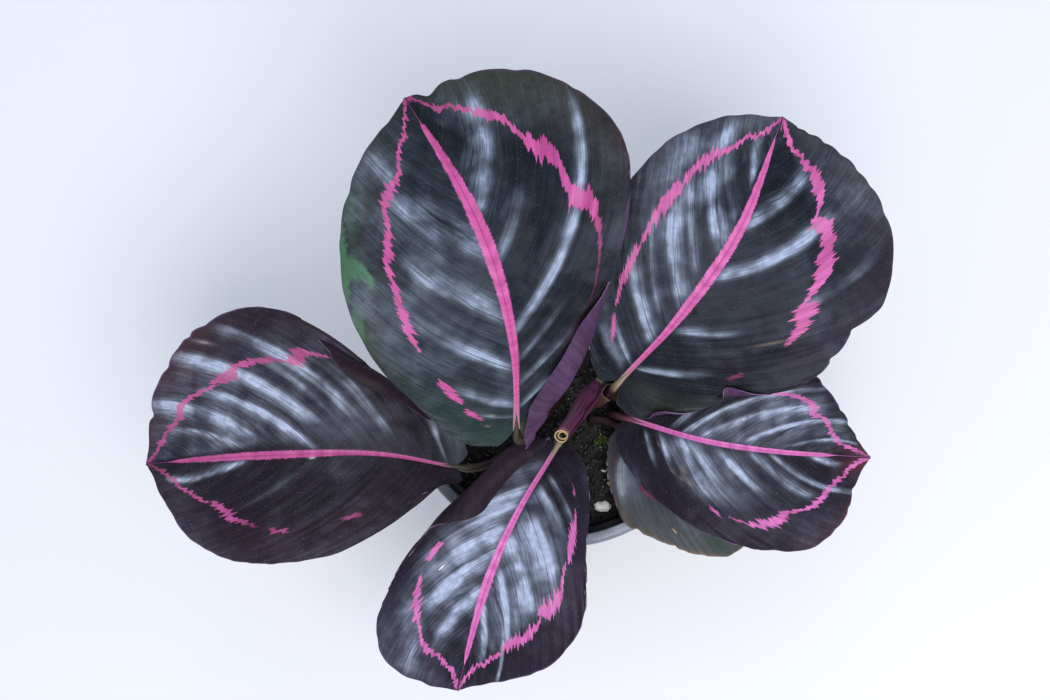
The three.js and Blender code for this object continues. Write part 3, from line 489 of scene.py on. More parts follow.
# %% Stains
stains = {
    "leaf_a": [
        [-1, 0.46, 0.95, 0.07, 0.12, "#33431f", 0.6],
        [-1, 0.30, 0.55, 0.16, 0.6, "#1d3026", 0.6], [-1, 0.8, 1.0, 0.2, 0.12, "#2b3524", 0.5],
        [-1, 0.10, 0.5, 0.14, 0.8, "#1f3a2a", 0.6], [1, 0.05, 0.4, 0.1, 0.9, "#3a4a24", 0.6],
        [1, 0.88, 1.0, 0.14, 0.2, "#2e3a1c", 0.6], [1, 0.72, 1.0, 0.1, 0.16, "#34301d", 0.5],
        [1, 0.60, 1.0, 0.08, 0.12, "#3c2028", 0.5], [1, 0.50, 0.40, 0.06, 0.12, "#3c0f22", 0.7],
        [-1, 0.21, 0.26, 0.012, 0.03, "#7d7b52", 0.8], [-1, 0.33, 0.15, 0.012, 0.02, "#8a875c", 0.8],
        [1, 0.932, 0.735, 0.006, 0.02, "#a8823f", 0.9], [-1, 0.59, 1.0, 0.078, 0.055, "#3f6843", 1.6],
        [-1, 0.616, 0.87, 0.018, 0.085, "#467049", 1.6], [-1, 0.598, 0.95, 0.022, 0.06, "#3c6342", 1.6]],
    "leaf_b": [
        [1, 0.65, 0.9, 0.14, 0.2, "#2b1e2c", 0.6], [1, 0.50, 0.85, 0.16, 0.3, "#241724", 0.6],
        [-1, 0.02, 0.6, 0.06, 0.7, "#2c4038", 0.7], [-1, 0.9, 0.95, 0.12, 0.2, "#333a36", 0.5],
        [1, 0.85, 1.0, 0.12, 0.12, "#3a322e", 0.6], [1, 0.60, 0.45, 0.005, 0.06, "#8c7a5c", 0.7],
        [1, 0.15, 0.6, 0.1, 0.8, "#2d3122", 0.6], [1, 0.50, 0.40, 0.04, 0.16, "#1d0d17", 0.6]],
    "leaf_c": [
        [1, 0.80, 1.0, 0.10, 0.16, "#4a2b26", 0.5], [1, 0.71, 1.0, 0.06, 0.10, "#4c2b28", 0.5],
        [1, 0.88, 0.99, 0.04, 0.09, "#4c3028", 0.45], [1, 0.93, 1.0, 0.04, 0.14, "#4c2a2c", 0.5],
        [1, 0.717, 0.91, 0.005, 0.04, "#cdbfc6", 0.6], [-1, 0.803, 0.012, 0.004, 0.012, "#f4efef", 0.9],
        [-1, 0.66, 0.75, 0.2, 0.2, "#2a1420", 0.5], [-1, 0.52, 0.4, 0.1, 0.3, "#2e0f1c", 0.6],
        [-1, 0.25, 0.5, 0.2, 0.6, "#24141c", 0.5], [1, 0.05, 0.5, 0.1, 0.9, "#4a5a60", 0.4]],
    "leaf_d": [
        [-1, 0.45, 0.75, 0.14, 0.2, "#33203a", 0.5], [1, 0.87, 0.9, 0.12, 0.25, "#2f2233", 0.5],
        [1, 0.45, 0.35, 0.2, 0.35, "#3a2a40", 0.4], [-1, 0.60, 0.9, 0.15, 0.2, "#33202e", 0.5],
        [1, 0.758, 0.37, 0.0024, 0.024, "#f2f5f8", 1.8]],
    "leaf_e": [
        [1, 0.585, 0.24, 0.016, 0.03, "#8a7a66", 0.6], [1, 0.575, 0.34, 0.012, 0.016, "#8a6f4c", 0.9],
        [1, 0.515, 0.285, 0.014, 0.02, "#7d6c58", 0.8], [1, 0.545, 0.32, 0.012, 0.016, "#8b7b68", 0.7],
        [1, 0.57, 0.30, 0.016, 0.02, "#7a6c5e", 0.6], [-1, 0.75, 0.29, 0.003, 0.012, "#f0f4f6", 1.0],
        [1, 0.5, 0.10, 0.004, 0.012, "#c0a06c", 0.9], [1, 0.83, 1.0, 0.05, 0.05, "#5a3a24", 0.7],
        [1, 0.72, 0.97, 0.10, 0.1, "#3a2422", 0.6], [1, 0.5, 0.8, 0.2, 0.25, "#26141f", 0.5],
        [-1, 0.90, 0.95, 0.06, 0.3, "#25301f", 0.5], [-1, 0.98, 0.7, 0.03, 0.6, "#5a1f2a", 0.7],
        [1, 0.98, 0.7, 0.03, 0.6, "#5a1a26", 0.8]],
    "leaf_f": [
        [1, 0.33, 0.4, 0.10, 0.3, "#4a3340", 0.7], [1, 0.50, 0.40, 0.09, 0.25, "#6b7484", 0.7],
        [1, 0.39, 0.88, 0.06, 0.12, "#655648", 0.7], [1, 0.52, 0.98, 0.06, 0.07, "#6a5542", 0.7],
        [1, 0.86, 0.80, 0.07, 0.16, "#2c4534", 0.7], [1, 0.76, 1.0, 0.05, 0.05, "#85725c", 0.6],
        [1, 0.60, 0.55, 0.03, 0.3, "#33222f", 0.5], [1, 0.55, 1.0, 0.5, 0.03, "#8a7460", 0.8],
        [1, 0.68, 0.76, 0.008, 0.03, "#b09468", 1.5]],
}
print(sum(len(leaf) for leaf in stains.values()), "stains")

# %% [markdown]
# ## From numbers to a bent sheet
# First come smooth curves through a few points, read by their length, as a bent wire is. Then each side vein is
# laid out flat as a bowed line and bent by its slope, a little at a time. The table of points that comes out
# has one row for each vein pair, and its columns run from the left margin over the midrib to the right one.

# %% Curves read by length
CURVE_STEPS = 800    # short straight steps by which a curve's length is measured


class Curve:
    """A smooth curve through points, asked for its place by part of its length."""

    def __init__(self, points):
        knots = np.asarray(points, float)
        self.knots = np.vstack([2 * knots[0] - knots[1], knots, 2 * knots[-1] - knots[-2]])
        self.spans = len(knots) - 1
        self.steps = np.linspace(0, 1, CURVE_STEPS + 1)
        reach = np.linalg.norm(np.diff(self.raw(self.steps), axis=0), axis=1)
        travelled = np.r_[0, np.cumsum(reach)]
        self.length = travelled[-1]
        self.parts = travelled / self.length

    def raw(self, t):
        """The place at t by knots. A span is a cubic that leaves and arrives in its neighbours' direction."""
        v = np.clip(t, 0, 1) * self.spans
        i = np.minimum(v.astype(int), self.spans - 1)
        f = (v - i)[:, None]
        before, start, end, after = (self.knots[i + k] for k in range(4))
        a, b = (end - before) / 2, (after - start) / 2
        return start + a * f + (3 * (end - start) - 2 * a - b) * f**2 + (2 * (start - end) + a + b) * f**3

    def at(self, part):
        return self.raw(np.interp(part, self.parts, self.steps))


print("midribs in mm:", [round(float(Curve(leaf["midrib"]).length), 1) for leaf in leaves.values()])

# %% The bent surface of one leaf
EVEN_ROOTS = 0.12      # share of the veins' roots that are evenly spaced along the midrib
ROOT_CROWDING = 4.2    # power by which the others crowd towards the base
VEIN_BOW = 0.17        # how far a vein bows towards the tip, as a share of its span
VEIN_STEPS = 80        # short straight steps that a vein is bent in
ROUGH_MARGIN = 0.25    # millimetres by which every margin is uneven
FRILL = 0.3            # millimetres by which the outermost part of a margin goes up and down
FRILL_WAVES = 17       # how often it does so in a half
INSET = 0.005          # share by which the flat leaf is smaller than the solid, so its margin stays inside


class Blade:
    """The bent surface of one leaf."""

    def __init__(self, leaf):
        self.leaf = leaf
        self.midrib = Curve(leaf["midrib"])
        self.length = self.midrib.length
        along = np.subtract(leaf["midrib"][-1], leaf["midrib"][0]).astype(float)
        along /= np.linalg.norm(along)
        self.right = np.cross(along, [0, 0, 1])
        self.right /= np.linalg.norm(self.right)
        self.up = np.cross(self.right, along)
        ends = {-1: leaf["left"], 1: leaf["right"]}
        self.margin = {side: Curve(outline + [[self.length, 0]]) for side, outline in ends.items()}

    def rib_at(self, x):
        """The midrib at distance x from the base, carried on straight past either end."""
        x = np.asarray(x, float)
        part = np.clip(x / self.length, 0, 1)
        ahead = self.midrib.at(np.minimum(part + 0.001, 1)) - self.midrib.at(np.maximum(part - 0.001, 0))
        ahead /= np.linalg.norm(ahead, axis=-1, keepdims=True)
        return self.midrib.at(part) + ahead * (x - part * self.length)[:, None]

    def rib_half(self, x):
        return RIB_HALF * (1 - 0.7 * x / self.length)

    def root(self, q):
        """How far along the midrib the vein of q starts."""
        return self.length * (EVEN_ROOTS * q + (1 - EVEN_ROOTS) * q**ROOT_CROWDING)

    def inset(self, x):
        return self.length / 2 + (x - self.length / 2) * (1 - INSET)

    def slope(self, side, q, t):
        """The angle at which the vein climbs at each q and t, in radians."""
        k = 0 if side < 0 else 1
        degrees = self.leaf["fold"][k] + self.leaf["camber"][k] * t + 0 * q
        curl = self.leaf.get("curl")
        if curl and curl["side"] == side:
            turned = np.zeros_like(q)
            for (a, low), (b, high) in zip(curl["roll"][:-1], curl["roll"][1:]):
                turned = np.where((q >= a) & (q <= b), low + (high - low) * smooth(a, b, q), turned)
            begin = np.interp(q, *np.transpose(curl["begin"]))
            degrees = degrees + turned * smooth(begin, begin + curl["wind"], t)
        for where, at, reach, turn in self.leaf.get("lips", ()):
            if where == side:
                degrees = degrees + turn * np.exp(-(((q - at) / reach) ** 2)) * smooth(0.80, 1, t)
        return np.radians(degrees)

    def dented(self, side, q, x0, y0):
        """The margin at q, drawn in towards the vein's root x0, y0 by the dents."""
        x1, y1 = self.margin[side].at(q).T
        dent = ROUGH_MARGIN * (1 + np.sin(61 * q + 3 * side) * np.sin(23 * q + 1))
        for where, at, reach, depth in self.leaf["dents"]:
            if where == side:
                dent += depth * np.exp(-(((q - at) / reach) ** 2))
        shorter = 1 - dent * smooth(0, 0.03, 1 - q) / np.maximum(np.hypot(x1 - x0, y1 - y0), 3)
        return x0 + (x1 - x0) * shorter, y0 + (y1 - y0) * shorter

    def half(self, side, q, t):
        """Points of one half at places q (rows) and t (columns), and their flat x and y."""
        x0 = self.root(q)
        y0 = self.rib_half(x0)
        x1, y1 = self.dented(side, q, x0, y0)
        xm = (x0 + x1) / 2 - VEIN_BOW * abs(y1 - y0)
        ym = (y0 + y1) / 2 + VEIN_BOW * (x1 - x0)
        s = np.linspace(0, 1, VEIN_STEPS + 1)
        flat_x, flat_y = (a[:, None] * (1 - s) ** 2 + 2 * b[:, None] * s * (1 - s) + c[:, None] * s**2
                          for a, b, c in ((x0, xm, x1), (y0, ym, y1)))
        flat_x, flat_y = self.inset(flat_x), flat_y * (1 - INSET)
        angle = self.slope(side, q[:, None], s[None, 1:] - 0.5 / VEIN_STEPS)
        steps = np.diff(flat_y, axis=1)
        out = np.c_[flat_y[:, 0], flat_y[:, :1] + np.cumsum(steps * np.cos(angle), axis=1)]
        rise = np.c_[0 * y0, np.cumsum(steps * np.sin(angle), axis=1)]
        waves, height = self.leaf["wave"]
        ends = smooth(0, 0.1, q) * (1 - smooth(0.9, 1, q))
        rise += height * s**3 * (np.sin(2 * np.pi * waves * q) * ends)[:, None]
        rise += FRILL * s**8 * ((np.sin(2 * np.pi * FRILL_WAVES * q + 4 * np.sin(9 * q)) - 1) * ends)[:, None]
        out, rise, x, y = (np.array([np.interp(t, s, row) for row in table])
                           for table in (out, rise, flat_x, flat_y))
        rib = self.rib_at(x.ravel()).reshape(*x.shape, 3)
        return rib + self.right * (side * out)[..., None] + self.up * rise[..., None], x, y


blade = Blade(leaves["leaf_a"])
starts = blade.root(np.array([0.25, 0.5, 0.75])) / blade.length
print("veins at q 0.25, 0.5 and 0.75 start at these parts of the midrib:", starts.round(3))

# %% [markdown]
# ## Pleats, ring and stripe on the sheet
# The pleats push the sheet up and down along its own normals. Their slopes are summed from vein to vein, and
# a running mean is taken away, so that the sheet stays where the solid is and falls back gently behind each
# flank. Some finer waves between veins are added, from fixed sines. Then each point learns how far it is from
# the ring and from the midrib stripe, how strong a sheen is painted on it, and which stain it carries.

# %% Pleats
PLEAT_LIMIT = 0.8    # millimetres
MEAN_PARTS = 14      # the running mean reaches one of so many parts of a half to either side
SMALL_WAVES = ((13, 0.12), (23, 0.06), (37, 0.025))    # how many in a half, and how high in millimetres
WIDE_APART = 170     # millimetres of blade to one q: from there on, the small waves are full


def pleat_height(rows, q, t, step, seed):
    """Height of the pleats and the strength of the highlight painted on their flanks. step is how far apart
    neighbouring veins are.
    """
    slope = np.zeros(step.shape)
    painted_sheen = np.zeros(step.shape)
    for inner, outer, start, end, width, painted_highlight_amount, degrees in rows:
        centre = inner + (outer - inner) * np.clip((t - start) / (end - start), 0, 1)
        fade = smooth(start - 0.05, start + 0.05, t) * (1 - smooth(end - 0.12, end + 0.12, t))
        away = (q - centre) / width
        flank = np.exp(-((away / np.where(away < 0, 0.6, 1.2)) ** 2)) * fade
        slope += flank * math.tan(math.radians(degrees))
        painted_sheen += flank * painted_highlight_amount
    height = np.cumsum(slope * step, axis=0)
    span = len(q) // MEAN_PARTS
    kernel = np.hanning(2 * span + 1)
    padded = np.pad(height, ((span, span), (0, 0)), mode="edge")
    mean = np.array([np.convolve(column, kernel / kernel.sum(), mode="valid") for column in padded.T]).T
    height = PLEAT_LIMIT * np.tanh((height - mean) / PLEAT_LIMIT)
    apart = np.clip(step / np.gradient(q, axis=0) / WIDE_APART, 0, 1) ** 1.4
    for k, (waves, size) in enumerate(SMALL_WAVES):
        phase = seed * 2.4 + k * 1.9 + 1.3 * np.sin(3.1 * t + seed)
        height += size * apart * np.sin(2 * np.pi * waves * q + phase) * smooth(0.05, 0.3, t)
    return height * smooth(0.0, 0.14, t) * (1 - 0.6 * smooth(0.85, 1, t)), np.clip(painted_sheen, 0, 1.2)


print("pleats reach", round(PLEAT_LIMIT + sum(size for _, size in SMALL_WAVES), 2), "mm at most")

# %% Ring, stains and stripe
RING_SLIM = 0.72     # share of a stroke's half width that is kept, since its teeth widen it
RING_LEAST = 0.95    # least half width of a stroke, in millimetres


def ring_field(strokes, q, t, length):
    """Two sets of strokes, so that neighbours may overlap: offset from the stroke's line and half width, both
    in millimetres along a vein of that length, and darkness."""
    sets = []
    for chosen in (strokes[0::2], strokes[1::2]):
        knots = [[-0.1, 0.5, -0.2, 0]]
        for stroke in chosen:
            points = [point + [0.0] * (4 - len(point)) for point in stroke]
            (q0, t0, _, dark0), (q1, t1, _, dark1) = points[0], points[-1]
            knots += [[q0 - 0.02, t0, -0.04, dark0], *points, [q1 + 0.02, t1, -0.04, dark1]]
        knots = np.array(knots + [[1.1, 0.5, -0.2, 0]], float)
        places = np.maximum.accumulate(knots[:, 0]) + 1e-6 * np.arange(len(knots))
        line, half, dark = (np.interp(q, places, knots[:, k]) for k in (1, 2, 3))
        wide = np.maximum(RING_SLIM * half * length, RING_LEAST * smooth(0, 0.012, half))
        half = np.where(half > 0, wide, half * length)
        sets.append(np.stack([(t - line) * length, half + 0 * t, dark + 0 * t], axis=-1))
    return sets


def stain_field(spots, side, q, t):
    """Colour and strength of the stains on one half. Those above 1 have a sharp edge and are stored below 0."""
    colour = np.zeros((len(q), t.shape[1], 4))
    for where, at_q, at_t, reach_q, reach_t, code, strength in spots:
        if where != side:
            continue
        paint = np.array(linear(code)[:3])
        weight = np.exp(-(((q - at_q) / reach_q) ** 2) - ((t - at_t) / reach_t) ** 2) * strength
        if strength > 1:
            colour[weight > 0.02, :3] = paint
            colour[..., 3] = np.where(weight > 0.35, np.minimum(colour[..., 3], -weight), colour[..., 3])
        else:
            share = (weight / np.maximum(weight + np.maximum(colour[..., 3], 0), 1e-6))[..., None]
            colour[..., :3] += (paint - colour[..., :3]) * share
            colour[..., 3] = np.maximum(colour[..., 3], weight)
    return colour


def stripe_field(name, along, off):
    """1 where a point lies on the edge of the midrib's pink stripe, and less inside it."""
    part, width = np.array(stripes[name]).T
    return np.clip((off + 0.06) / np.maximum(np.interp(along, part, width), 0.05), -9, 9)


print("stripe of leaf A at half its length, 1 mm off:", stripe_field("leaf_a", np.array([0.5]), 1.0).round(2))

# %% Two halves and a midrib
BLADE_TOP = 0.02    # upper skin above the middle of the solid, in millimetres
GROOVE = {-0.5: -0.12, 0.0: -0.42, 0.5: -0.12}   # depth of the midrib's furrow, by part of its half width


def half_sheet(name, blade, side, word, q, t, seed):
    """Points and fields of one half, with columns that run from left to right."""
    points, x, y = blade.half(side, q, t)
    length = np.linalg.norm(np.diff(points, axis=1), axis=2).sum(axis=1)[:, None]
    q, t = q[:, None], t[None, :]
    ring_1, ring_2 = ring_field(rings[name][word], q, t, length)
    along_vein = np.gradient(points, axis=1)
    across = np.gradient(points, axis=0)
    normal = side * np.cross(along_vein, across)
    normal /= np.maximum(np.linalg.norm(normal, axis=-1, keepdims=True), 1e-9)
    vein = along_vein / np.maximum(np.linalg.norm(along_vein, axis=-1, keepdims=True), 1e-9)
    step = np.linalg.norm(across - (across * vein).sum(-1, keepdims=True) * vein, axis=-1)
    height, painted_sheen = pleat_height(pleats[name][word], q, t, step, seed + side)
    points += normal * (BLADE_TOP + height * smooth(0, 0.06, 1 - q))[..., None]
    sheet = dict(points=points, u=q + 0 * y, v=side * t + 0 * y, along=x / blade.length, off=y,
                 ring_1=ring_1, ring_2=ring_2, stripe=side * stripe_field(name, x / blade.length, y),
                 painted_sheen=painted_sheen, stain=stain_field(stains[name], side, q, t))
    return {key: array[:, ::side] for key, array in sheet.items()}


def rib_sheet(name, blade, q):
    """The same for the midrib: three columns, with a furrow along the middle one."""
    x = blade.inset(blade.root(q))
    ribs = [blade.rib_at(x) + blade.right * (place * blade.rib_half(x))[:, None] +
            blade.up * (BLADE_TOP + depth * (1 - 0.6 * q))[:, None] for place, depth in GROOVE.items()]
    y = np.stack([place * blade.rib_half(x) for place in GROOVE], axis=1)
    u, along = (np.repeat(row[:, None], 3, axis=1) for row in (q, x / blade.length))
    no_ring = np.stack([0 * u + 1, 0 * u - 1, 0 * u], axis=-1)
    return dict(points=np.stack(ribs, axis=1), u=u, v=0 * u, along=along, off=abs(y),
                ring_1=no_ring, ring_2=no_ring, stripe=stripe_field(name, along, y),
                painted_sheen=0 * u, stain=np.zeros((*u.shape, 4)))


print("the midrib's furrow is", -min(GROOVE.values()), "mm deep")

# %% Build one leaf
ROWS = 240          # veins in each half
HALF = 56           # points along a vein
CROWDING = 1.15     # how much closer the rows lie at the tip
BLADE = 0.38        # thickness, and least distance inside the low sides of the solid's box
SHY = 0.15          # least distance inside its high sides
KEEL = 2.0          # thickness at the midrib's base
FIELDS = (("ring_1", "FLOAT_VECTOR", "vector"), ("ring_2", "FLOAT_VECTOR", "vector"),
          ("stripe", "FLOAT", "value"), ("painted_sheen", "FLOAT", "value"), ("stain", "FLOAT_COLOR", "color"))


def make_leaf(name, seed, skins):
    """One blade: a bent grid with all its fields, given its thickness and its three skins."""
    blade = Blade(leaves[name])
    q = 1 - (1 - np.arange(ROWS + 1) / ROWS) ** CROWDING
    t = np.linspace(0, 1, HALF + 1)
    left = half_sheet(name, blade, -1, "left", q, t, seed)
    right = half_sheet(name, blade, 1, "right", q, t, seed)
    rib = rib_sheet(name, blade, q)
    sheet = {key: np.concatenate([left[key], rib[key], right[key]], axis=1) for key in rib}
    low, high = (np.array(corner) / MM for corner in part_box(name))
    piece = bent_grid(name + "_blade", np.clip(sheet["points"], low + BLADE, high - SHY))
    set_uv(piece, sheet["u"], sheet["v"])
    for word, kind, key in FIELDS:
        piece.data.attributes.new(word, kind, "POINT").data.foreach_set(key, sheet[word].ravel())

    # The keel under the midrib is where the sheet is thickest.
    keel = KEEL * (1 - 0.8 * np.clip(sheet["along"], 0, 1)) * (1 - smooth(0.3, 2.2, sheet["off"]))
    group = piece.vertex_groups.new(name="thickness")
    weights = np.round(np.maximum(keel, BLADE) / KEEL, 2)
    for value in np.unique(weights):
        group.add(np.flatnonzero(weights.ravel() == value).tolist(), float(value), "REPLACE")
    for skin in skins:
        piece.data.materials.append(skin)
    apply(piece, "SOLIDIFY", thickness=KEEL * MM, offset=-1, vertex_group="thickness",
          use_even_offset=False, material_offset=1, material_offset_rim=2)
    weld(piece, 0.004)
    bpy.ops.object.shade_smooth_by_angle(angle=math.radians(60))
    return piece


print("a blade is a sheet of", (ROWS + 1) * (2 * (HALF + 1) + len(GROOVE)), "points")

# %% [markdown]
# ## Leaf skin
# The upper skin is a waxy film over nearly black green or purple tissue. It is satin, not glossy: its cells are
# drawn out along the veins, so the shine is streaked that way. Its blue-white shine is a painted highlight and
# sheen, coats of pale colour in bands on the pleats, along the side veins and in specks. The pattern reads the
# leaf's own UV map, with q across the veins and t along them. The ring's teeth are the ends of short pink
# dashes, one to a small vein, which are shifted to and fro along it. Every other colour is a coat over the
# tissue, by its own amount.

# %% Veins, painted sheen and ring marks
# The side veins shine as thin painted highlight lines.
SIDE_VEINS = 34     # shining side veins in a half
MARGIN_LONG = 200   # about how long a half's margin is, in millimetres


def side_veins(tree, across, coarse):
    """The thin line on each side vein, a little uneven, along which a painted highlight is drawn, and the dark
    gap along every second one, where the painted highlight is cut back.
    """
    count = add(tree, "MULTIPLY_ADD", across, SIDE_VEINS, add(tree, "MULTIPLY", coarse, 0.5))
    to_vein = add(tree, "ABSOLUTE", add(tree, "SUBTRACT", add(tree, "FRACT", count), 0.5))
    line = add(tree, "MapRange", to_vein, 0.0, 0.045, 1.0, 0.0)
    pairs = add(tree, "FRACT", add(tree, "MULTIPLY", count, 0.5))
    to_gap = add(tree, "ABSOLUTE", add(tree, "SUBTRACT", pairs, 0.5))
    return line, add(tree, "MapRange", to_gap, 0.0, 0.05, 0.4, 1.0)


def paint_wax_sheen(tree, clouds, streak, fine, patches, mottle):
    """How strong the painted sheen is, with a faint painted veil in clouds, and how much of its blue-white
    painted highlight is mixed into the colour, broken up by the grain.
    """
    painted_sheen_level = add(tree, "ADD", add(tree, "Attribute", attribute_name="painted_sheen", out="Fac"),
                add(tree, "MapRange", clouds, 0.45, 0.68, 0.0, 0.08))
    for noise, low, high, least, most in (
            (streak, 0.36, 0.64, 0.78, 1.12), (fine, 0.38, 0.62, 0.84, 1.12),
            (patches, 0.34, 0.62, 0.42, 1.25)):
        painted_sheen_level = add(tree, "MULTIPLY", painted_sheen_level, add(tree, "MapRange", noise, low, high, least, most))
    painted_highlight_amount = add(tree, "MINIMUM", add(tree, "MULTIPLY", add(tree, "POWER", painted_sheen_level, 1.3), 1.45), 1.0)
    for noise, low, high, least, most in ((mottle, 0.3, 0.7, 0.6, 0.95), (fine, 0.35, 0.65, 0.75, 1.0)):
        painted_highlight_amount = add(tree, "MULTIPLY", painted_highlight_amount, add(tree, "MapRange", noise, low, high, least, most))
    return painted_sheen_level, painted_highlight_amount


def ring_marks(tree, teeth, fine):
    """How much of the ring shows, and how dark it has turned. Of its two sets, the deeper one counts."""
    depths, shades = [], []
    for word in ("ring_1", "ring_2"):
        parts = add(tree, "Attribute", attribute_name=word, out="Vector")
        offset, half, shade = (add(tree, "SeparateXYZ", parts, out=axis) for axis in "XYZ")
        shift = add(tree, "MULTIPLY", add(tree, "SUBTRACT", teeth, 0.5),
                    add(tree, "MapRange", half, 0.5, 2.0, 4.5, 10.0))
        half = add(tree, "MULTIPLY", half, add(tree, "MapRange", fine, 0.3, 0.7, 0.65, 1.35))
        away = add(tree, "ABSOLUTE", add(tree, "ADD", offset, shift))
        depths.append(add(tree, "SUBTRACT", half, away))
        shades.append(shade)
    ring = add(tree, "MapRange", add(tree, "MAXIMUM", *depths), -0.15, 0.25)
    second = add(tree, "GREATER_THAN", depths[1], depths[0])
    turned = add(tree, "MAXIMUM", add(tree, "Mix", second, *shades), add(tree, "MULTIPLY", ring, 0.14))
    return ring, turned


print("side veins are about", round(MARGIN_LONG / SIDE_VEINS, 1), "mm apart at the margin")

# %% Upper skin
def upper_skin(name, dark, light, outer, painted_highlight_colour, pink, deep, joint, margin):
    """Waxy leaf skin: IOR 1.45, satin, with its blue-white highlights painted into the colour. The eight colours
    are those of one kind of leaf.
    """
    material, tree, shader = new_material(name)
    place = add(tree, "UVMap", uv_map="UVMap")
    solid = add(tree, "TexCoord", out="Object")
    across, along = (add(tree, "SeparateXYZ", place, out=axis) for axis in "XY")
    outwards = add(tree, "ABSOLUTE", along)

    # Each noise has its coordinates, how many patches fit, and its detail. On the UV map they fit across and
    # along a half, and on the object's coordinates into a metre.
    teeth, coarse, streak, fine, clouds, patches, mottle, speckle = (
        add(tree, "TexNoise", add(tree, "Mapping", source, sockets={"Scale": scale}), 1.0, detail)
        for source, scale, detail in (
            (place, (125, 4, 1), 3.0),             # the ring's dashes, 1.6 mm wide
            (place, (52, 4, 1), 1.0),              # how evenly the side veins lie
            (place, (70, 2.2, 1), 3.0),            # streaks of 3 mm
            (place, (330, 7, 1), 2.0),             # single small veins of 0.6 mm
            (solid, (38, 38, 38), 3.0),            # clouds of 26 mm
            (solid, (105, 105, 105), 1.0),         # soft swellings of 10 mm
            (solid, (420, 420, 420), 4.0),         # mottle of 2.4 mm
            (solid, (2400, 2400, 2400), 1.0)))     # specks of 0.4 mm
    line, gap = side_veins(tree, across, coarse)
    painted_sheen_level, painted_highlight_amount = paint_wax_sheen(tree, clouds, streak, fine, patches, mottle)
    ring, turned = ring_marks(tree, teeth, fine)

    # The paler zone along the margin is a painted haze of reflected light. Then the stains: a strength below 0
    # is a sharp edge, moved by the mottle.
    painted_haze = add(tree, "MULTIPLY", add(tree, "MapRange", outwards, 0.55, 0.85),
               add(tree, "MapRange", mottle, 0.35, 0.65, 0.5, 1.0))
    painted_haze = add(tree, "MULTIPLY", painted_haze, add(tree, "MapRange", clouds, 0.35, 0.65, 0.4, 1.0))
    flaw = add(tree, "Attribute", attribute_name="stain", out="Alpha")
    soft = add(tree, "MULTIPLY", flaw, add(tree, "MapRange", clouds, 0.35, 0.6, 0.45, 1.2))
    sharp = add(tree, "MULTIPLY", add(tree, "SUBTRACT", mottle, 0.5), 1.2)
    sharp = add(tree, "MapRange", add(tree, "SUBTRACT", sharp, flaw), 0.35, 0.95)

    # The midrib's stripe has a ruffled edge, a crease along its middle and a swollen joint at its base.
    middle = add(tree, "ABSOLUTE", add(tree, "Attribute", attribute_name="stripe", out="Fac"))
    ruff = add(tree, "MULTIPLY", add(tree, "SUBTRACT", fine, 0.5), 0.7)
    stripe = add(tree, "MapRange", add(tree, "ADD", middle, ruff), 0.86, 1.06, 1.0, 0.0)
    crease = add(tree, "MapRange", middle, 0.02, 0.16, 0.55, 0.0)
    knot = add(tree, "MapRange", across, 0.0, 0.55, 0.8, 0.0)

    # The pink of ring and stripe, with a painted sheen on it, and then the whole skin, as coats over each other.
    rose = linear(pink)
    for amount, paint in ((add(tree, "MapRange", streak, 0.3, 0.7), linear(deep)),
                          # a painted sheen on the pink
                          (add(tree, "MULTIPLY", painted_sheen_level, 0.35), linear("#f0b8d8")),
                          (turned, linear("#45101f"))):
        rose = add(tree, "Mix", amount, rose, paint, data_type="RGBA")
    colour = linear(dark)
    for amount, paint in (
            (add(tree, "MapRange", streak, 0.35, 0.7), linear(light)),
            # the margin's paler zone: a painted haze of reflected light
            (painted_haze, linear(outer)),
            (add(tree, "MAXIMUM", soft, sharp), add(tree, "Attribute", attribute_name="stain")),
            # painted highlights: thin lines on the side veins, bands on the pleats cut back at the gaps, and
            # specks
            (add(tree, "MULTIPLY", line, add(tree, "MULTIPLY_ADD", painted_sheen_level, 0.3, 0.02)), linear(painted_highlight_colour)),
            (add(tree, "MULTIPLY", painted_highlight_amount, gap), linear(painted_highlight_colour)),
            (add(tree, "MapRange", speckle, 0.70, 0.82, 0.0, 0.25), linear(painted_highlight_colour)),
            (add(tree, "MAXIMUM", ring, stripe), rose),
            (add(tree, "MULTIPLY", crease, stripe), linear("#962050")),
            (add(tree, "MULTIPLY", knot, stripe), linear(joint)),
            (add(tree, "MapRange", outwards, 0.984, 0.996, 0.0, 0.45), linear(margin))):
        colour = add(tree, "Mix", amount, colour, paint, data_type="RGBA")

    relief = 0.0
    for noise, height in (
            (streak, 0.5), (fine, 0.3), (patches, 9.0), (mottle, 0.8), (speckle, 0.10), (line, -0.12)):
        relief = add(tree, "MULTIPLY_ADD", noise, height, relief)
    bump = add(tree, "Bump", sockets={"Height": relief, "Strength": 0.45, "Distance": 0.0003})
    rough = add(tree, "SUBTRACT", add(tree, "MapRange", fine, 0.3, 0.7, 0.34, 0.42),
                add(tree, "MULTIPLY", painted_sheen_level, 0.12))
    plug(shader, {"Base Color": colour, "Roughness": rough, "IOR": 1.45, "Specular IOR Level": 0.28,
                  "Specular Tint": linear("#c6d2f0"), "Normal": bump})
    return material


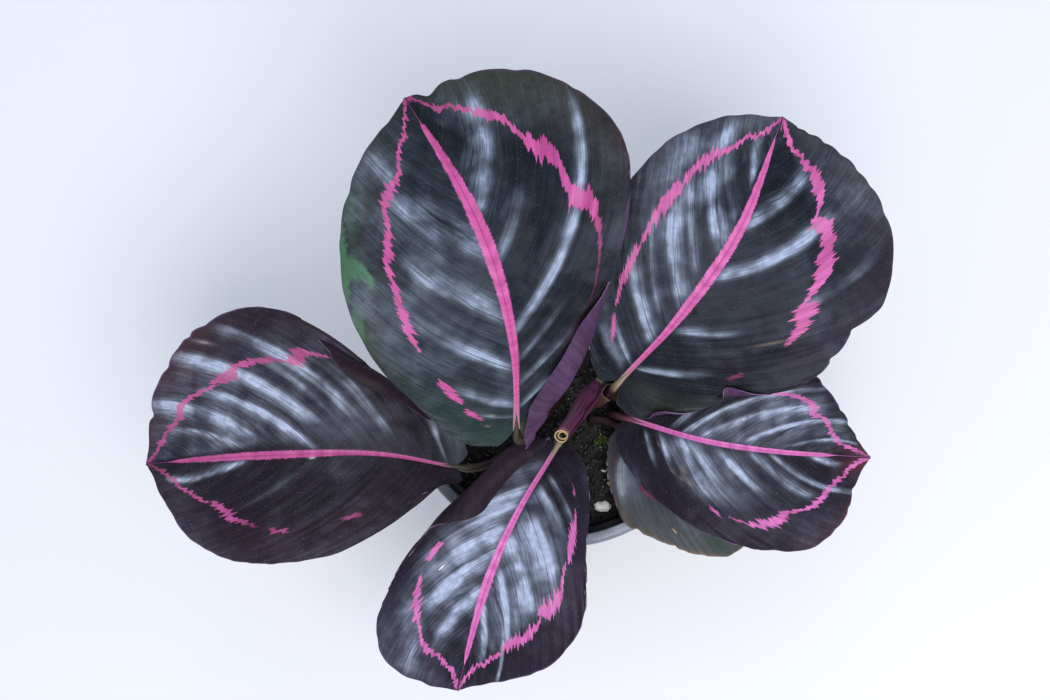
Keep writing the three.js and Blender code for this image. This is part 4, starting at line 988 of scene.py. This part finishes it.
# Two of each leaf's colours are painted light: the outer zone's is a painted haze of reflected light, and the
# sheen is the painted highlight.
skin_colours = {  # the two tissue tones, outer zone, sheen, pink and its deep streaks, joint, margin
    "waxy_green_leaf_skin": "#0a0d10 #171b1f #363735 #b3c3de #d765ab #aa427e #a8968e #54405e",
    "waxy_slate_leaf_skin": "#0b0d11 #1a1c22 #343238 #b8c8e4 #e678be #b84e8e #a8968e #54405e",
    "waxy_purple_leaf_skin": "#0f0a11 #221a24 #2b2330 #c0ceea #e37fc6 #b85496 #a5788a #6d4a80",
    "waxy_wine_leaf_skin": "#120b11 #241a22 #2d2029 #c6d4ee #c65e9e #983e70 #a5788a #6d4a80",
    "worn_leaf_skin": "#3b3f44 #4c5056 #565853 #a4b0c0 #b04a80 #7d2f58 #8a7568 #8c7464",
}
green_skin, slate_skin, purple_skin, wine_skin, worn_skin = (
    upper_skin(name, *codes.split()) for name, codes in skin_colours.items())
print(len(skin_colours), "upper skins of", len(green_skin.node_tree.nodes), "nodes each")

# %% [markdown]
# Underneath, the same leaf is purple and matt, with paler parallel veins. Where a margin curls over, this is
# the side that shows. The cut edge between the two skins is a thin lilac line.

# %% Lower skin and edge
def lower_skin(name, shade, lit):
    """Matt purple underside with fine parallel veins, 1.5 mm apart, in patches of 17 mm."""
    material, tree, shader = new_material(name)
    lines = add(tree, "Mapping", add(tree, "UVMap", uv_map="UVMap"), sockets={"Scale": (130, 3, 1)})
    streak = add(tree, "TexNoise", lines, 1.0, 3.0)
    patch = add(tree, "TexNoise", add(tree, "TexCoord", out="Object"), 60.0, 2.0)
    amount = add(tree, "MapRange", add(tree, "MULTIPLY", streak, patch), 0.12, 0.4)
    colour = add(tree, "Mix", amount, linear(shade), linear(lit), data_type="RGBA")
    bump = add(tree, "Bump", sockets={"Height": streak, "Strength": 0.4, "Distance": 0.0003})
    plug(shader, {"Base Color": colour, "Roughness": 0.6, "Specular IOR Level": 0.25, "Normal": bump})
    return material


violet_under = lower_skin("matt_violet_leaf_underside", "#361f3b", "#583860")
# The wine underside is the leaf's own dark wine, made darker still as painted shade where the margins curl over.
wine_under_with_shade = lower_skin("matt_wine_leaf_underside", "#170c16", "#2b182a")
worn_under = lower_skin("matt_worn_leaf_underside", "#4a3b44", "#6d5c60")

# The cut edge: lilac, lighter in spots of 2.5 mm.
leaf_edge, tree, shader = new_material("lilac_leaf_edge")
spots = add(tree, "TexNoise", add(tree, "TexCoord", out="Object"), 400.0)
tint = add(tree, "Mix", spots, linear("#4c3656"), linear("#8a6a98"), data_type="RGBA")
plug(shader, {"Base Color": tint, "Roughness": 0.45})
print("three undersides and one edge")

# %% Dress the six leaves
skins = {
    "leaf_a": ("leaf_green", green_skin, violet_under), "leaf_b": ("leaf_green", slate_skin, violet_under),
    "leaf_c": ("leaf_purple", wine_skin, wine_under_with_shade), "leaf_d": ("leaf_purple", purple_skin, wine_under_with_shade),
    "leaf_e": ("leaf_purple", purple_skin, wine_under_with_shade), "leaf_f": ("leaf_worn", worn_skin, worn_under),
}
for seed, (name, (slot, upper, lower)) in enumerate(skins.items()):
    piece = make_leaf(name, seed, (upper, lower, leaf_edge))
    finish(piece, slot, [name])

# %% [markdown]
# ## Stems
# Each leaf stands on its own stalk. Low down it is a clasping sheath with a groove on its inner side. It thins
# to a round stalk and ends in a short swollen joint, pale yellow-green, that turns the leaf to the light. The
# stalk is a tube swept along a curve, and its last few millimetres run into the keel under the blade.

# %% Tubes along a curve
TUBE_SIDES = 20


def tube(name, centres, radii, groove):
    """A closed tube through centres, with one radius for each, in millimetres."""
    centres = np.asarray(centres, float)
    ahead = np.gradient(centres, axis=0)
    ahead /= np.linalg.norm(ahead, axis=1, keepdims=True)
    normals = [np.cross(ahead[0], [0.3, 1, 0.1])]
    for direction in ahead[1:]:
        normals.append(normals[-1] - direction * normals[-1].dot(direction))
    normals = np.array([normal / np.linalg.norm(normal) for normal in normals])
    turns = np.linspace(0, 2 * np.pi, TUBE_SIDES + 1)[None, :, None]
    rings = normals[:, None] * np.cos(turns) + np.cross(ahead, normals)[:, None] * np.sin(turns)
    furrow = 1 - groove * np.exp(-((turns - np.pi) / 0.45) ** 2)
    points = centres[:, None] + rings * furrow * np.asarray(radii, float)[:, None, None]
    first, last = (np.repeat(end[None, None], TUBE_SIDES + 1, axis=1) for end in (centres[0], centres[-1]))
    points = np.concatenate([first, points, last])
    piece = bent_grid(name, points)
    v, u = np.meshgrid(np.linspace(0, 1, len(points)), np.linspace(0, 1, TUBE_SIDES + 1), indexing="ij")
    set_uv(piece, u, v)
    weld(piece)
    bpy.ops.object.shade_smooth()
    return piece


print("tubes have", TUBE_SIDES, "sides")

# %% The soil's height
LOW_CORNER = (41.2, 1.8)    # radius and height inside the pot, in millimetres, at its floor
HIGH_CORNER = (54, 82)      # and below its step
SOIL_TOP = 79.0             # millimetres over the floor, at the pot's wall
SOIL_CROWN = 3.5            # how much higher the middle is
SOIL_LUMPS = 0.55           # height of the lumps that the solid has too


def inner_radius(z):
    """Radius inside the pot at height z."""
    return np.interp(z, *np.transpose([LOW_CORNER[::-1], HIGH_CORNER[::-1]]))


def soil_height(x, y):
    """Height of the soil at x, y: a low crown with small lumps, as in the solid."""
    r = np.hypot(x, y) / inner_radius(SOIL_TOP)
    lumps = np.sin(0.37 * x + 1.3) * np.cos(0.31 * y - 0.4) + 0.6 * np.sin(0.71 * y - 0.53 * x)
    return SOIL_TOP + SOIL_CROWN * (1 - r * r) + SOIL_LUMPS * lumps * (1 - smooth(0.85, 1, r))


print("soil at the middle is", round(float(soil_height(0, 0)), 1), "mm over the floor")

# %% [markdown]
# The stalk is purple-brown and slightly shiny, greener where it is young, with fine lengthwise lines. At the
# joint it turns pale. One material does it all: its colours follow the way up the stalk on the UV map.

# %% Stalk skin
def stalk_skin(name, low, middle, joint, top):
    """Smooth young plant skin, slightly waxy: IOR 1.4. Its lines are half a millimetre apart."""
    material, tree, shader = new_material(name)
    place = add(tree, "UVMap", uv_map="UVMap")
    height = add(tree, "SeparateXYZ", place, out="Y")
    lines = add(tree, "TexNoise", add(tree, "Mapping", place, sockets={"Scale": (26, 3, 1)}), 1.0, 3.0)
    colour = linear(low)
    for start, end, code in ((0.15, 0.55, middle), (0.66, 0.76, joint), (0.88, 0.95, top)):
        amount = add(tree, "MapRange", height, start, end)
        colour = add(tree, "Mix", amount, colour, linear(code), data_type="RGBA")
    shade = add(tree, "MapRange", lines, 0.3, 0.7, 0.6, 1.25)
    colour = add(tree, "VectorMath", colour, shade, operation="SCALE")
    bump = add(tree, "Bump", sockets={"Height": lines, "Strength": 0.35, "Distance": 0.0004})
    plug(shader, {"Base Color": colour, "Roughness": 0.42, "IOR": 1.4, "Normal": bump})
    return material


brown_stalk = stalk_skin("waxy_brown_leaf_stalk", "#2c201c", "#341d25", "#3f382b", "#5f4a44")
plum_stalk = stalk_skin("waxy_plum_leaf_stalk", "#33241f", "#43202e", "#94866e", "#8a5a66")
rosy_stalk = stalk_skin("waxy_rosy_leaf_stalk", "#33241f", "#43202e", "#7c4658", "#9a4a6c")
print("three stalk skins")

# %% Six stalks
STALK_RADIUS = 2.1    # at the soil, in millimetres
SHAFT_THINS = 0.75    # how much thinner it gets over six tenths of the way up
JOINT_RADIUS = 1.6
BURIED = 8            # length under the soil's surface
BEND_STEPS = 200      # points of its bend, of which every eighth is kept
STALK_ROWS = 64       # rings of the tube

stalks = {  # leaf: (root, rise, direction of arrival, reach, skin)
    "leaf_a": ((0, -4), 24, (-0.1, 0.75, 0.65), 8, brown_stalk),
    "leaf_b": ((16, -4), 9, (0.3, 0.3, 0.9), 10, plum_stalk),
    "leaf_c": ((-5, -10), 14, (-0.94, 0.1, 0.3), 15, brown_stalk),
    "leaf_d": ((4, -12), 8, (-0.4, -0.7, 0.6), 8, plum_stalk),
    "leaf_e": ((20, -10), 6, (0.8, -0.3, 0.5), 6, rosy_stalk),
    "leaf_f": ((12, -12), 2, (0.8, -0.45, 0.4), 4, brown_stalk),
}


def stalk_path(root, rise, arrive, reach, end, beyond):
    """Centres and radii of a stalk: out of the soil, along its bend, and on into the blade."""
    x, y = root
    start = np.array([x, y, soil_height(x, y) + 1])
    s = np.linspace(0, 1, BEND_STEPS)[:, None]
    bend = (start * (1 - s) ** 3 + 3 * (start + [0, 0, rise]) * s * (1 - s) ** 2 +
            3 * (end - np.array(arrive) * reach) * s * s * (1 - s) + end * s**3)
    path = Curve(np.vstack([[x, y, start[2] - BURIED], bend[::8], bend[-1:], *beyond]))
    bent = np.linalg.norm(np.diff(bend, axis=0), axis=1).sum()
    part = np.linspace(0, 1, STALK_ROWS)
    gone = part * path.length - BURIED
    joint = smooth(bent - 10, bent - 5, gone) * (1 - smooth(bent - 1.5, bent + 1, gone))
    shaft = STALK_RADIUS - SHAFT_THINS * smooth(0, 0.6 * bent, gone)
    radii = shaft + (JOINT_RADIUS - shaft) * joint
    radii *= 1 - 0.85 * smooth(bent, path.length - BURIED, gone)
    return path.at(part), radii * (1 + 0.02 * np.sin(gone * 1.7 + x))


for name, (root, rise, arrive, reach, skin) in stalks.items():
    blade = Blade(leaves[name])
    arrive = np.array(arrive) / np.linalg.norm(arrive)
    rib = blade.rib_at(np.array([-2.0, 0.0, 5.0, 12.0]))
    tangent = (rib[1] - rib[0]) / 2
    end = rib[0] - 0.5 * blade.up - arrive * (0.3 + 1.2 * math.sqrt(max(0, 1 - arrive.dot(tangent) ** 2)))
    sunk = [rib[1] - 0.75 * blade.up, rib[2] - 0.9 * blade.up, rib[3] - 0.7 * blade.up]
    centres, radii = stalk_path(root, rise, arrive, reach, end, sunk)
    stem = name.replace("leaf", "stem")
    piece = tube(stem + "_stalk", centres, radii, groove=0.12)
    finish(piece, "leaf_stem", [stem], skin)

# %% [markdown]
# ## The leaf still rolled
# The newest leaf is a tight scroll, two turns of thin sheet. Its outside is the underside of the leaf, so it is
# magenta-purple with fine lines. Its mouth is cut aslant and shows tan rims, one inside the other. It is a
# sheet bent along a spiral, whose outer turns end lower than its inner ones.

# %% Bend the scroll
SCROLL_STEPS = 90    # rows of the sheet, and as many columns
roll = dict(root=(20, 7), bottom=(14.3, 0, 109), top=(3.6, -19.2, 150), turns=2.1, pitch=0.85,
            radii=(2.8, 4.1, 3.6, 3.1, 2.9), sheet=0.42)
foot, head = np.array(roll["bottom"], float), np.array(roll["top"], float)
axis = (head - foot) / np.linalg.norm(head - foot)
across = np.cross([0, 0, 1], axis)
across /= np.linalg.norm(across)
other = np.cross(axis, across)
wound = np.linspace(0, roll["turns"], SCROLL_STEPS)[None, :]
rise = np.linspace(0, 1, SCROLL_STEPS)[:, None]
rim = 0.955 + 0.03 * wound / roll["turns"] - 0.012 * np.cos(2 * np.pi * wound)
rim = rim - 0.42 * smooth(1.86, 2.1, wound)
part = rise * rim
radius = np.interp(part, np.linspace(0, 1, 5), roll["radii"]) - 0.3 - roll["pitch"] * (roll["turns"] - wound)
radius = radius + 0.05 * np.sin(9 * wound + 6 * part) * smooth(0.2, 0.6, part)
angle = 2 * np.pi * wound
points = (foot + (head - foot) * part[..., None] + across * (radius * np.cos(angle))[..., None] +
          other * (radius * np.sin(angle))[..., None])
scroll = bent_grid("rolled_leaf", points)
set_uv(scroll, wound / roll["turns"] + 0 * rise, part)
print("scroll of", roll["turns"], "turns,", round(float(np.linalg.norm(head - foot)), 1), "mm long")

# %% Skin of the scroll
def rolled_skin(name, shade, lit, dry, lines_across):
    """Soft young leaf skin, satin, lined lengthwise every half millimetre or so, and dry at its mouth."""
    material, tree, shader = new_material(name)
    place = add(tree, "UVMap", uv_map="UVMap")
    stretched = add(tree, "Mapping", place, sockets={"Scale": (lines_across, 2.5, 1)})
    lines = add(tree, "TexNoise", stretched, 1.0, 3.0)
    mouth = add(tree, "MapRange", add(tree, "SeparateXYZ", place, out="Y"), 0.91, 0.95)
    colour = linear(shade)
    for amount, code in ((add(tree, "MapRange", lines, 0.35, 0.68), lit), (mouth, dry)):
        colour = add(tree, "Mix", amount, colour, linear(code), data_type="RGBA")
    bump = add(tree, "Bump", sockets={"Height": lines, "Strength": 0.4, "Distance": 0.0003})
    plug(shader, {"Base Color": colour, "Roughness": 0.4, "Normal": bump})
    return material


magenta_wrap = rolled_skin("satin_magenta_rolled_leaf", "#3a182f", "#74345c", "#8a5a5c", 60)
olive_inside = rolled_skin("olive_inside_of_rolled_leaf", "#2a2614", "#554f30", "#6c6440", 90)
tan_rim = rolled_skin("dry_tan_rim_of_rolled_leaf", "#4a2038", "#6c3452", "#b7986c", 60)
for skin in (magenta_wrap, olive_inside, tan_rim):
    scroll.data.materials.append(skin)
apply(scroll, "SOLIDIFY", thickness=roll["sheet"] * MM, offset=0, material_offset=1, material_offset_rim=2)
bpy.ops.object.shade_smooth_by_angle(angle=math.radians(50))
finish(scroll, "leaf_rolled", ["leaf_rolled"])
centres, radii = stalk_path(roll["root"], 8, axis, 10, foot - 0.3 * axis, [foot + 5 * axis])
piece = tube("rolled_leaf_stalk", centres, radii, groove=0.1)
finish(piece, "leaf_stem", ["stem_rolled"], plum_stalk)

# %% [markdown]
# ## Pot
# A nursery pot is injection-moulded from thin black polypropylene. Its wall leans out, steps out near the top
# for stacking, and turns over into a hanging skirt, so the rim is stiff. It is modelled as on a lathe: a circle
# is extruded and resized from the middle of the base, up the outside, over the rim and down the inside. The
# drain holes are cut with plain rods, and a small bevel softens every edge as the mould does.

# %% Turn the pot
POT_SIDES = 120
# The profile as [radius, height] in millimetres.
outside = [(12, 0), (41.6, 0), (43, 1.4), (45.2, 15.4), (45.55, 15.9), (47.0, 25.5), (55.4, 81), (56.9, 82.6),
           (57.2, 93.5), (58.7, 93.5), (58.4, 86), (59.6, 86), (60, 93.4), (59.6, 94.4), (58.7, 95)]
inside = [(56.1, 95), (55.8, 94.6), (55.4, 83.2), HIGH_CORNER, LOW_CORNER, (12, 1.8)]
profile = outside + inside
pot = primitive("circle", "nursery_pot", vertices=POT_SIDES, radius=profile[0][0] * MM)
bpy.ops.object.mode_set(mode="EDIT")
bpy.ops.mesh.select_all(action="SELECT")
bpy.ops.mesh.edge_face_add()
bpy.ops.mesh.select_mode(type="EDGE")
for (r0, z0), (r1, z1) in zip(profile[:-1], profile[1:]):
    bpy.ops.mesh.extrude_region_move(TRANSFORM_OT_translate={"value": (0, 0, (z1 - z0) * MM)})
    bpy.ops.transform.resize(value=(r1 / r0, r1 / r0, 1), center_override=(0, 0, z1 * MM))
bpy.ops.mesh.select_all(action="SELECT")
bpy.ops.mesh.normals_make_consistent(inside=False)
bpy.ops.object.mode_set(mode="OBJECT")
sides = np.bincount([corner.edge_index for corner in pot.data.loops])
print("pot profile of", len(profile), "rings; every edge has two faces:", bool((sides == 2).all()))

# %% Drain holes and soft edges
HOLES = 8
HOLE_RADIUS = 3.5    # millimetres
HOLE_CIRCLE = 34     # how far from the middle they lie
EDGE_RADIUS = 0.35   # of the mould's softened edges
for i in range(HOLES):
    turn = (i + 0.5) * 2 * math.pi / HOLES
    place = (HOLE_CIRCLE * MM * math.cos(turn), HOLE_CIRCLE * MM * math.sin(turn), 0)
    rod = primitive("cylinder", "rod", vertices=32, radius=HOLE_RADIUS * MM, depth=8 * MM, location=place)
    apply(pot, "BOOLEAN", object=rod, operation="DIFFERENCE", solver="EXACT")
    bpy.data.objects.remove(rod)
apply(pot, "BEVEL", width=EDGE_RADIUS * MM, segments=2, limit_method="ANGLE", angle_limit=math.radians(28))
bpy.ops.object.shade_smooth_by_angle(angle=math.radians(35))
print(HOLES, "drain holes, and", len(pot.data.polygons), "faces in all")

# %% [markdown]
# Black polypropylene is a little shiny where the mould was polished and grows dull where it is handled. Fine
# scuffs run round it. Soil dust clings to it, and on the top of the rim a pale blue-grey highlight is painted.

# %% Pot plastic
# Moulded polypropylene, IOR 1.49: mottle of 11 mm, scuffs 1 mm high and 17 mm long, dust of 1.5 mm.
pot_plastic, tree, shader = new_material("moulded_black_polypropylene")
spot = add(tree, "TexCoord", out="Object")
mottle = add(tree, "TexNoise", spot, 90.0, 4.0)
scuffs = add(tree, "TexNoise", add(tree, "Mapping", spot, sockets={"Scale": (60, 60, 900)}), 1.0, 3.0)
dust = add(tree, "MapRange", add(tree, "TexNoise", spot, 700.0, 2.0), 0.62, 0.72, 0.0, 0.5)
# A painted highlight: the top of the rim is painted pale blue-grey, in patches by the mottle.
near_top = add(tree, "MapRange", add(tree, "SeparateXYZ", spot, out="Z"), 0.0915, 0.0948, 0.05, 0.9)
painted_rim_highlight = add(tree, "MULTIPLY", near_top, mottle)
colour = linear("#101114")
for amount, code in ((mottle, "#1d1f23"), (dust, "#3c3732"), (painted_rim_highlight, "#b4bfd2")):
    colour = add(tree, "Mix", amount, colour, linear(code), data_type="RGBA")
rough = add(tree, "MapRange", scuffs, 0.3, 0.7, 0.27, 0.37)
bump = add(tree, "Bump", sockets={"Height": scuffs, "Strength": 0.2, "Distance": 0.0003})
plug(shader, {"Base Color": colour, "Roughness": rough, "IOR": 1.49, "Normal": bump})
finish(pot, "pot_plastic", ["pot"], pot_plastic)

# %% [markdown]
# ## Soil
# Potting mix is peat and composted bark, nearly black when moist. The bed is a disc bent to the solid's height
# with finer lumps, and thousands of crumbs lie on it. One crumb is modelled from a coarse ball and copied with
# its own turn and size, so that each has only twenty faces.

# %% Soil bed
BED_RINGS = 70
BED_SPOKES = 161
BED_FOOT = 60.0      # height of the bed's lower face, out of sight
BED_GAP = 0.15       # millimetres between the bed and the wall
FOOT_GAP = 0.2       # and at its lower face
BED_SUNK = 0.25      # how much lower the bed is than the solid
BED_LUMPS = 0.22     # height of its finer lumps
bed_r = np.linspace(0, 1, BED_RINGS)[:, None]
bed_a = np.linspace(0, 2 * np.pi, BED_SPOKES)[None, :]
edge = inner_radius(SOIL_TOP) - BED_GAP
x, y = edge * bed_r * np.cos(bed_a), edge * bed_r * np.sin(bed_a)
fine = np.sin(1.9 * x + 0.8 * y) * np.sin(1.7 * y - 0.6 * x + 1)
fine += 0.7 * np.sin(3.7 * x - 2.1 * y + 2) * np.cos(3.1 * y + 1.3 * x)
fine = BED_LUMPS * fine * (1 - smooth(0.9, 1, bed_r))
top = np.stack([x, y, soil_height(x, y) - BED_SUNK + fine], axis=-1)
narrow = (inner_radius(BED_FOOT) - FOOT_GAP) / edge
under = np.stack([np.vstack([row[-1:] * narrow, row[:1]]) for row in (x, y)] +
                 [np.full((2, BED_SPOKES), BED_FOOT)], axis=-1)
bed = bent_grid("soil_bed", np.concatenate([top, under])[:, ::-1])
weld(bed)
bpy.ops.object.shade_smooth()


def peat(name, dark, light, bumpy):
    """Moist matt bits: lumps of 2.4 mm and patches of colour of 1.1 mm."""
    material, tree, shader = new_material(name)
    spot = add(tree, "TexCoord", out="Object")
    lumps = add(tree, "TexNoise", spot, 420.0, 5.0, 0.7)
    amount = add(tree, "MapRange", add(tree, "TexNoise", spot, 900.0, 1.0), 0.4, 0.72)
    colour = add(tree, "Mix", amount, linear(dark), linear(light), data_type="RGBA")
    bump = add(tree, "Bump", sockets={"Height": lumps, "Strength": bumpy, "Distance": 0.001})
    plug(shader, {"Base Color": colour, "Roughness": 0.6, "Normal": bump})
    return material


bed_peat = peat("moist_peat_bed", "#070606", "#171412", 0.9)
crumb_peat = peat("crumbly_peat", "#0b0a0b", "#343134", 0.8)
bark = peat("composted_bark", "#191412", "#46403c", 0.8)
dust_white = peat("fine_perlite_dust", "#9aa2ad", "#d3d8df", 0.3)
finish(bed, "potting_soil", ["soil"], bed_peat)

# %% Copies of a small shape
def corners_and_faces(kind, **settings):
    """The corners and faces of a primitive, which itself is removed again."""
    shape = primitive(kind, **settings)
    corners = np.array([vertex.co for vertex in shape.data.vertices])
    faces = np.array([face.vertices for face in shape.data.polygons])
    bpy.data.objects.remove(shape)
    return corners, faces


def swarm(name, shapes, faces, turns, places):
    """One mesh of many small shapes, copies x corners x 3, each turned about z and put at its place."""
    x, y, z = np.moveaxis(shapes, -1, 0)
    c, s = np.cos(turns)[:, None], np.sin(turns)[:, None]
    points = np.stack([c * x - s * y, s * x + c * y, z], axis=-1) + places[:, None]
    all_faces = faces[None] + shapes.shape[1] * np.arange(len(shapes))[:, None, None]
    mesh = bpy.data.meshes.new(name)
    vertices = (points.reshape(-1, 3) * MM).tolist()
    mesh.from_pydata(vertices, [], all_faces.reshape(-1, faces.shape[1]).tolist())
    piece = bpy.data.objects.new(name, mesh)
    scene.collection.objects.link(piece)
    return piece


crumb, crumb_faces = corners_and_faces("ico_sphere", subdivisions=1, radius=1)
frond, frond_faces = corners_and_faces("grid", x_subdivisions=2, y_subdivisions=3, size=2)
print("a crumb has", len(crumb_faces), "faces and a frond of moss", len(frond_faces))

# %% Scatter crumbs and dust
CLEAR_OF_STALKS = 2.4    # millimetres
BARK_SHARE = 0.16        # share of the crumbs that is bark
LITTER_REACH = 51.8      # how far from the middle they lie, in millimetres
FLATNESS = 0.75          # height of a crumb by its length
KNOBS = 0.28             # how much its corners are pushed in and out
DUST_RISE = 0.5          # how much higher the dust lies than the crumbs, in millimetres
chance = np.random.default_rng(12)
roots = [stalk[0] for stalk in stalks.values()] + [roll["root"]]


def litter(count, low, high):
    """Random places on the soil, clear of the stalks, with sizes and turns."""
    r, a = LITTER_REACH * np.sqrt(chance.random(count)), 2 * np.pi * chance.random(count)
    x, y = r * np.cos(a), r * np.sin(a)
    clear = np.min([np.hypot(x - rx, y - ry) for rx, ry in roots], axis=0) > CLEAR_OF_STALKS
    size = low + (high - low) * chance.random(count) ** 3
    places = np.stack([x, y, soil_height(x, y) + 0.2 * size], axis=1)
    return places[clear], size[clear], 2 * np.pi * chance.random((count, 4))[clear]


def scatter(name, places, sizes, turns, materials, kinds):
    """Coarse balls, each knobbly and tilted in its own way. kinds says which material each has."""
    knobs = np.sin(turns[:, :1, None] * 7 + np.arange(len(crumb))[None, :, None] * 2.3)
    narrow = 0.6 + 0.35 * np.sin(turns[:, 1]) ** 2
    squash = np.stack([np.ones(len(places)), narrow, np.full(len(places), FLATNESS)], axis=1)
    shapes = crumb[None] * (1 + KNOBS * knobs) * squash[:, None]
    shapes[..., 2] += np.sin(turns[:, 3])[:, None] * 0.7 * shapes[..., 0]
    piece = swarm(name, shapes * sizes[:, None, None], crumb_faces, turns[:, 2], places)
    owner = np.repeat(kinds, len(crumb_faces)).astype(np.int32)
    piece.data.polygons.foreach_set("material_index", owner)
    finish(piece, "potting_soil", [], *materials)


places, sizes, turns = litter(count=3400, low=0.45, high=1.9)
kinds = (chance.random(len(places)) < BARK_SHARE).astype(int)
scatter("soil_crumbs", places, sizes, turns, [crumb_peat, bark], kinds)
places, sizes, turns = litter(count=1700, low=0.10, high=0.32)
places[:, 2] += DUST_RISE
scatter("perlite_dust", places, sizes, turns, [dust_white], np.zeros(len(places), int))

# %% [markdown]
# ## Perlite and feed
# Perlite is glass puffed up by heat, so its grains are white, light and pitted. The feed grains are smooth
# coated beads. Both are balls, pushed about by a few waves and flattened where they lie.

# %% Grains
GRAIN_SHAPE = (0.97, 0.82, 0.76)    # half its length, width and height, by its radius
GRAIN_RISE = 0.45                   # height of its middle over the soil, by its radius


def grain_stuff(name, shade, lit, rough, pits):
    """A grain's surface, with pits of 0.7 mm and patches of 1.7 mm."""
    material, tree, shader = new_material(name)
    spot = add(tree, "TexCoord", out="Object")
    cells = add(tree, "TexVoronoi", spot, 1400.0)
    patch = add(tree, "TexNoise", spot, 600.0, 3.0)
    colour = add(tree, "Mix", patch, linear(shade), linear(lit), data_type="RGBA")
    bump = add(tree, "Bump", sockets={"Height": cells, "Strength": pits, "Distance": 0.0006})
    plug(shader, {"Base Color": colour, "Roughness": rough, "Normal": bump})
    return material


perlite = grain_stuff("puffed_perlite", "#dfe2e8", "#ffffff", 0.8, 0.6)
tan_bead = grain_stuff("coated_tan_feed_bead", "#a38a5c", "#c9b27e", 0.4, 0.15)
kinds_of_grain = {"perlite": (perlite, 0.10, 0.05), "feed_pellet": (tan_bead, 0.03, 0.0)}
grains = {  # node: (x, y, radius, stretch along x, slot)
    "perlite_1": (16, -45, 2.6, 1.25, "perlite"), "perlite_2": (16.5, -31, 1.2, 1.0, "perlite"),
    "pellet_1": (19, -36, 1.5, 1.0, "feed_pellet"), "pellet_2": (-31, -36, 1.8, 1.0, "feed_pellet"),
}
for seed, (node, (x, y, size, stretch, slot)) in enumerate(grains.items()):
    stuff, knobs, knots = kinds_of_grain[slot]
    piece = primitive("ico_sphere", node + "_grain", subdivisions=4, radius=1)
    ball = np.array([vertex.co for vertex in piece.data.vertices])
    bumps = 1 + knobs * np.sin(ball @ [3.1, 4.3, 2.2] + seed) * np.cos(ball @ [-2.7, 3.9, 5.1])
    bumps += knots * np.sin(ball @ [9.1, -7.3, 8.2])
    if node == "perlite_1":   # the big grain has a furrow
        bumps *= 1 - 0.22 * np.exp(-(((ball[:, 0] + 0.15) / 0.25) ** 2)) * smooth(-0.9, 0.2, ball[:, 1])
    centre = np.array([x, y, float(soil_height(x, y)) + GRAIN_RISE * size])
    ball = ball * bumps[:, None] * size * np.array([stretch, 1, 1]) * GRAIN_SHAPE + centre
    piece.data.vertices.foreach_set("co", (ball * MM).ravel())
    bpy.ops.object.shade_smooth()
    finish(piece, slot, [node], stuff)

# %% [markdown]
# ## Moss
# A tuft of moss grows beside the stalks. One frond is a narrow strip of six faces that curls over, and ninety
# turned copies make the tuft.

# %% Moss tuft
FRONDS = 90
MOSS_MIDDLE = (15.6, -20.3)   # millimetres
MOSS_REACH = 2.9
up = (frond[:, 1] + 1) / 2
strip = np.stack([frond[:, 0] * 0.18 * (1.05 - up**2), 0.55 * up**2, 0.8 * (up + 0.12 * abs(frond[:, 0]))],
                 axis=1)
heading, tall = 2 * np.pi * chance.random(FRONDS), 0.8 + 1.4 * chance.random(FRONDS)
away = MOSS_REACH * np.sqrt(chance.random(FRONDS))
x = MOSS_MIDDLE[0] + away * np.cos(heading * 3)
y = MOSS_MIDDLE[1] + 0.8 * away * np.sin(heading * 3)
stand = np.stack([x, y, soil_height(x, y) + 0.1], axis=1)
moss = swarm("moss_tuft", strip[None] * tall[:, None, None], frond_faces, heading, stand)
apply(moss, "SOLIDIFY", thickness=0.12 * MM, offset=0)
fresh_moss = peat("fresh_moss", "#3b5020", "#8da256", 0.2)
finish(moss, "leaf_green", [], fresh_moss)

# %% [markdown]
# ## Dry sheath
# An old sheath has dried to a brown papery skin round one stalk, with a torn pale edge. It is a sheet bent
# through a few rows of points, ragged at its rim.

# %% Papery sheath
SHEATH_WIDE = 40     # columns of the sheet
SHEATH_HIGH = 30     # rows
rows = np.array([    # millimetres, from the stalk's foot up to the torn rim
    [[13.2, -7.6, 95], [12.0, -4.0, 96], [14.5, -1.2, 96], [18.2, -1.6, 95], [20.0, -4.6, 94]],
    [[14.6, -7.6, 99], [13.2, -3.6, 101], [15.8, -0.6, 102], [20.0, -1.4, 100], [24.0, -6.6, 98]],
    [[17.4, -6.6, 103], [15.0, -3.2, 105], [17.6, 0.0, 106.5], [21.4, -1.6, 105], [27.4, -9.4, 98.5]],
    [[19.4, -5.2, 105.5], [16.8, -2.6, 108], [19.0, 0.6, 109.5], [22.4, -2.0, 108.5], [29.4, -11.4, 96.5]],
])
across, upward = np.linspace(0, 1, SHEATH_WIDE), np.linspace(0, 1, SHEATH_HIGH)
wide = np.array([Curve(row).at(across) for row in rows])
points = np.array([Curve(wide[:, k]).at(upward) for k in range(SHEATH_WIDE)]).transpose(1, 0, 2)
column = np.arange(SHEATH_WIDE)
torn = 1 - 0.10 * abs(np.sin(column * 1.3)) * (0.5 + 0.5 * np.sin(column * 0.37))
points = points[:1] + (points - points[:1]) * torn[None, :, None]
sheath = bent_grid("dry_sheath", points)
set_uv(sheath, *np.meshgrid(across, upward))
apply(sheath, "SOLIDIFY", thickness=0.22 * MM, offset=0)
bpy.ops.object.shade_smooth_by_angle(angle=math.radians(50))
papery = rolled_skin("dry_papery_sheath", "#2e1c1a", "#5f4438", "#6b5040", 40)
finish(sheath, "leaf_stem", [], papery)
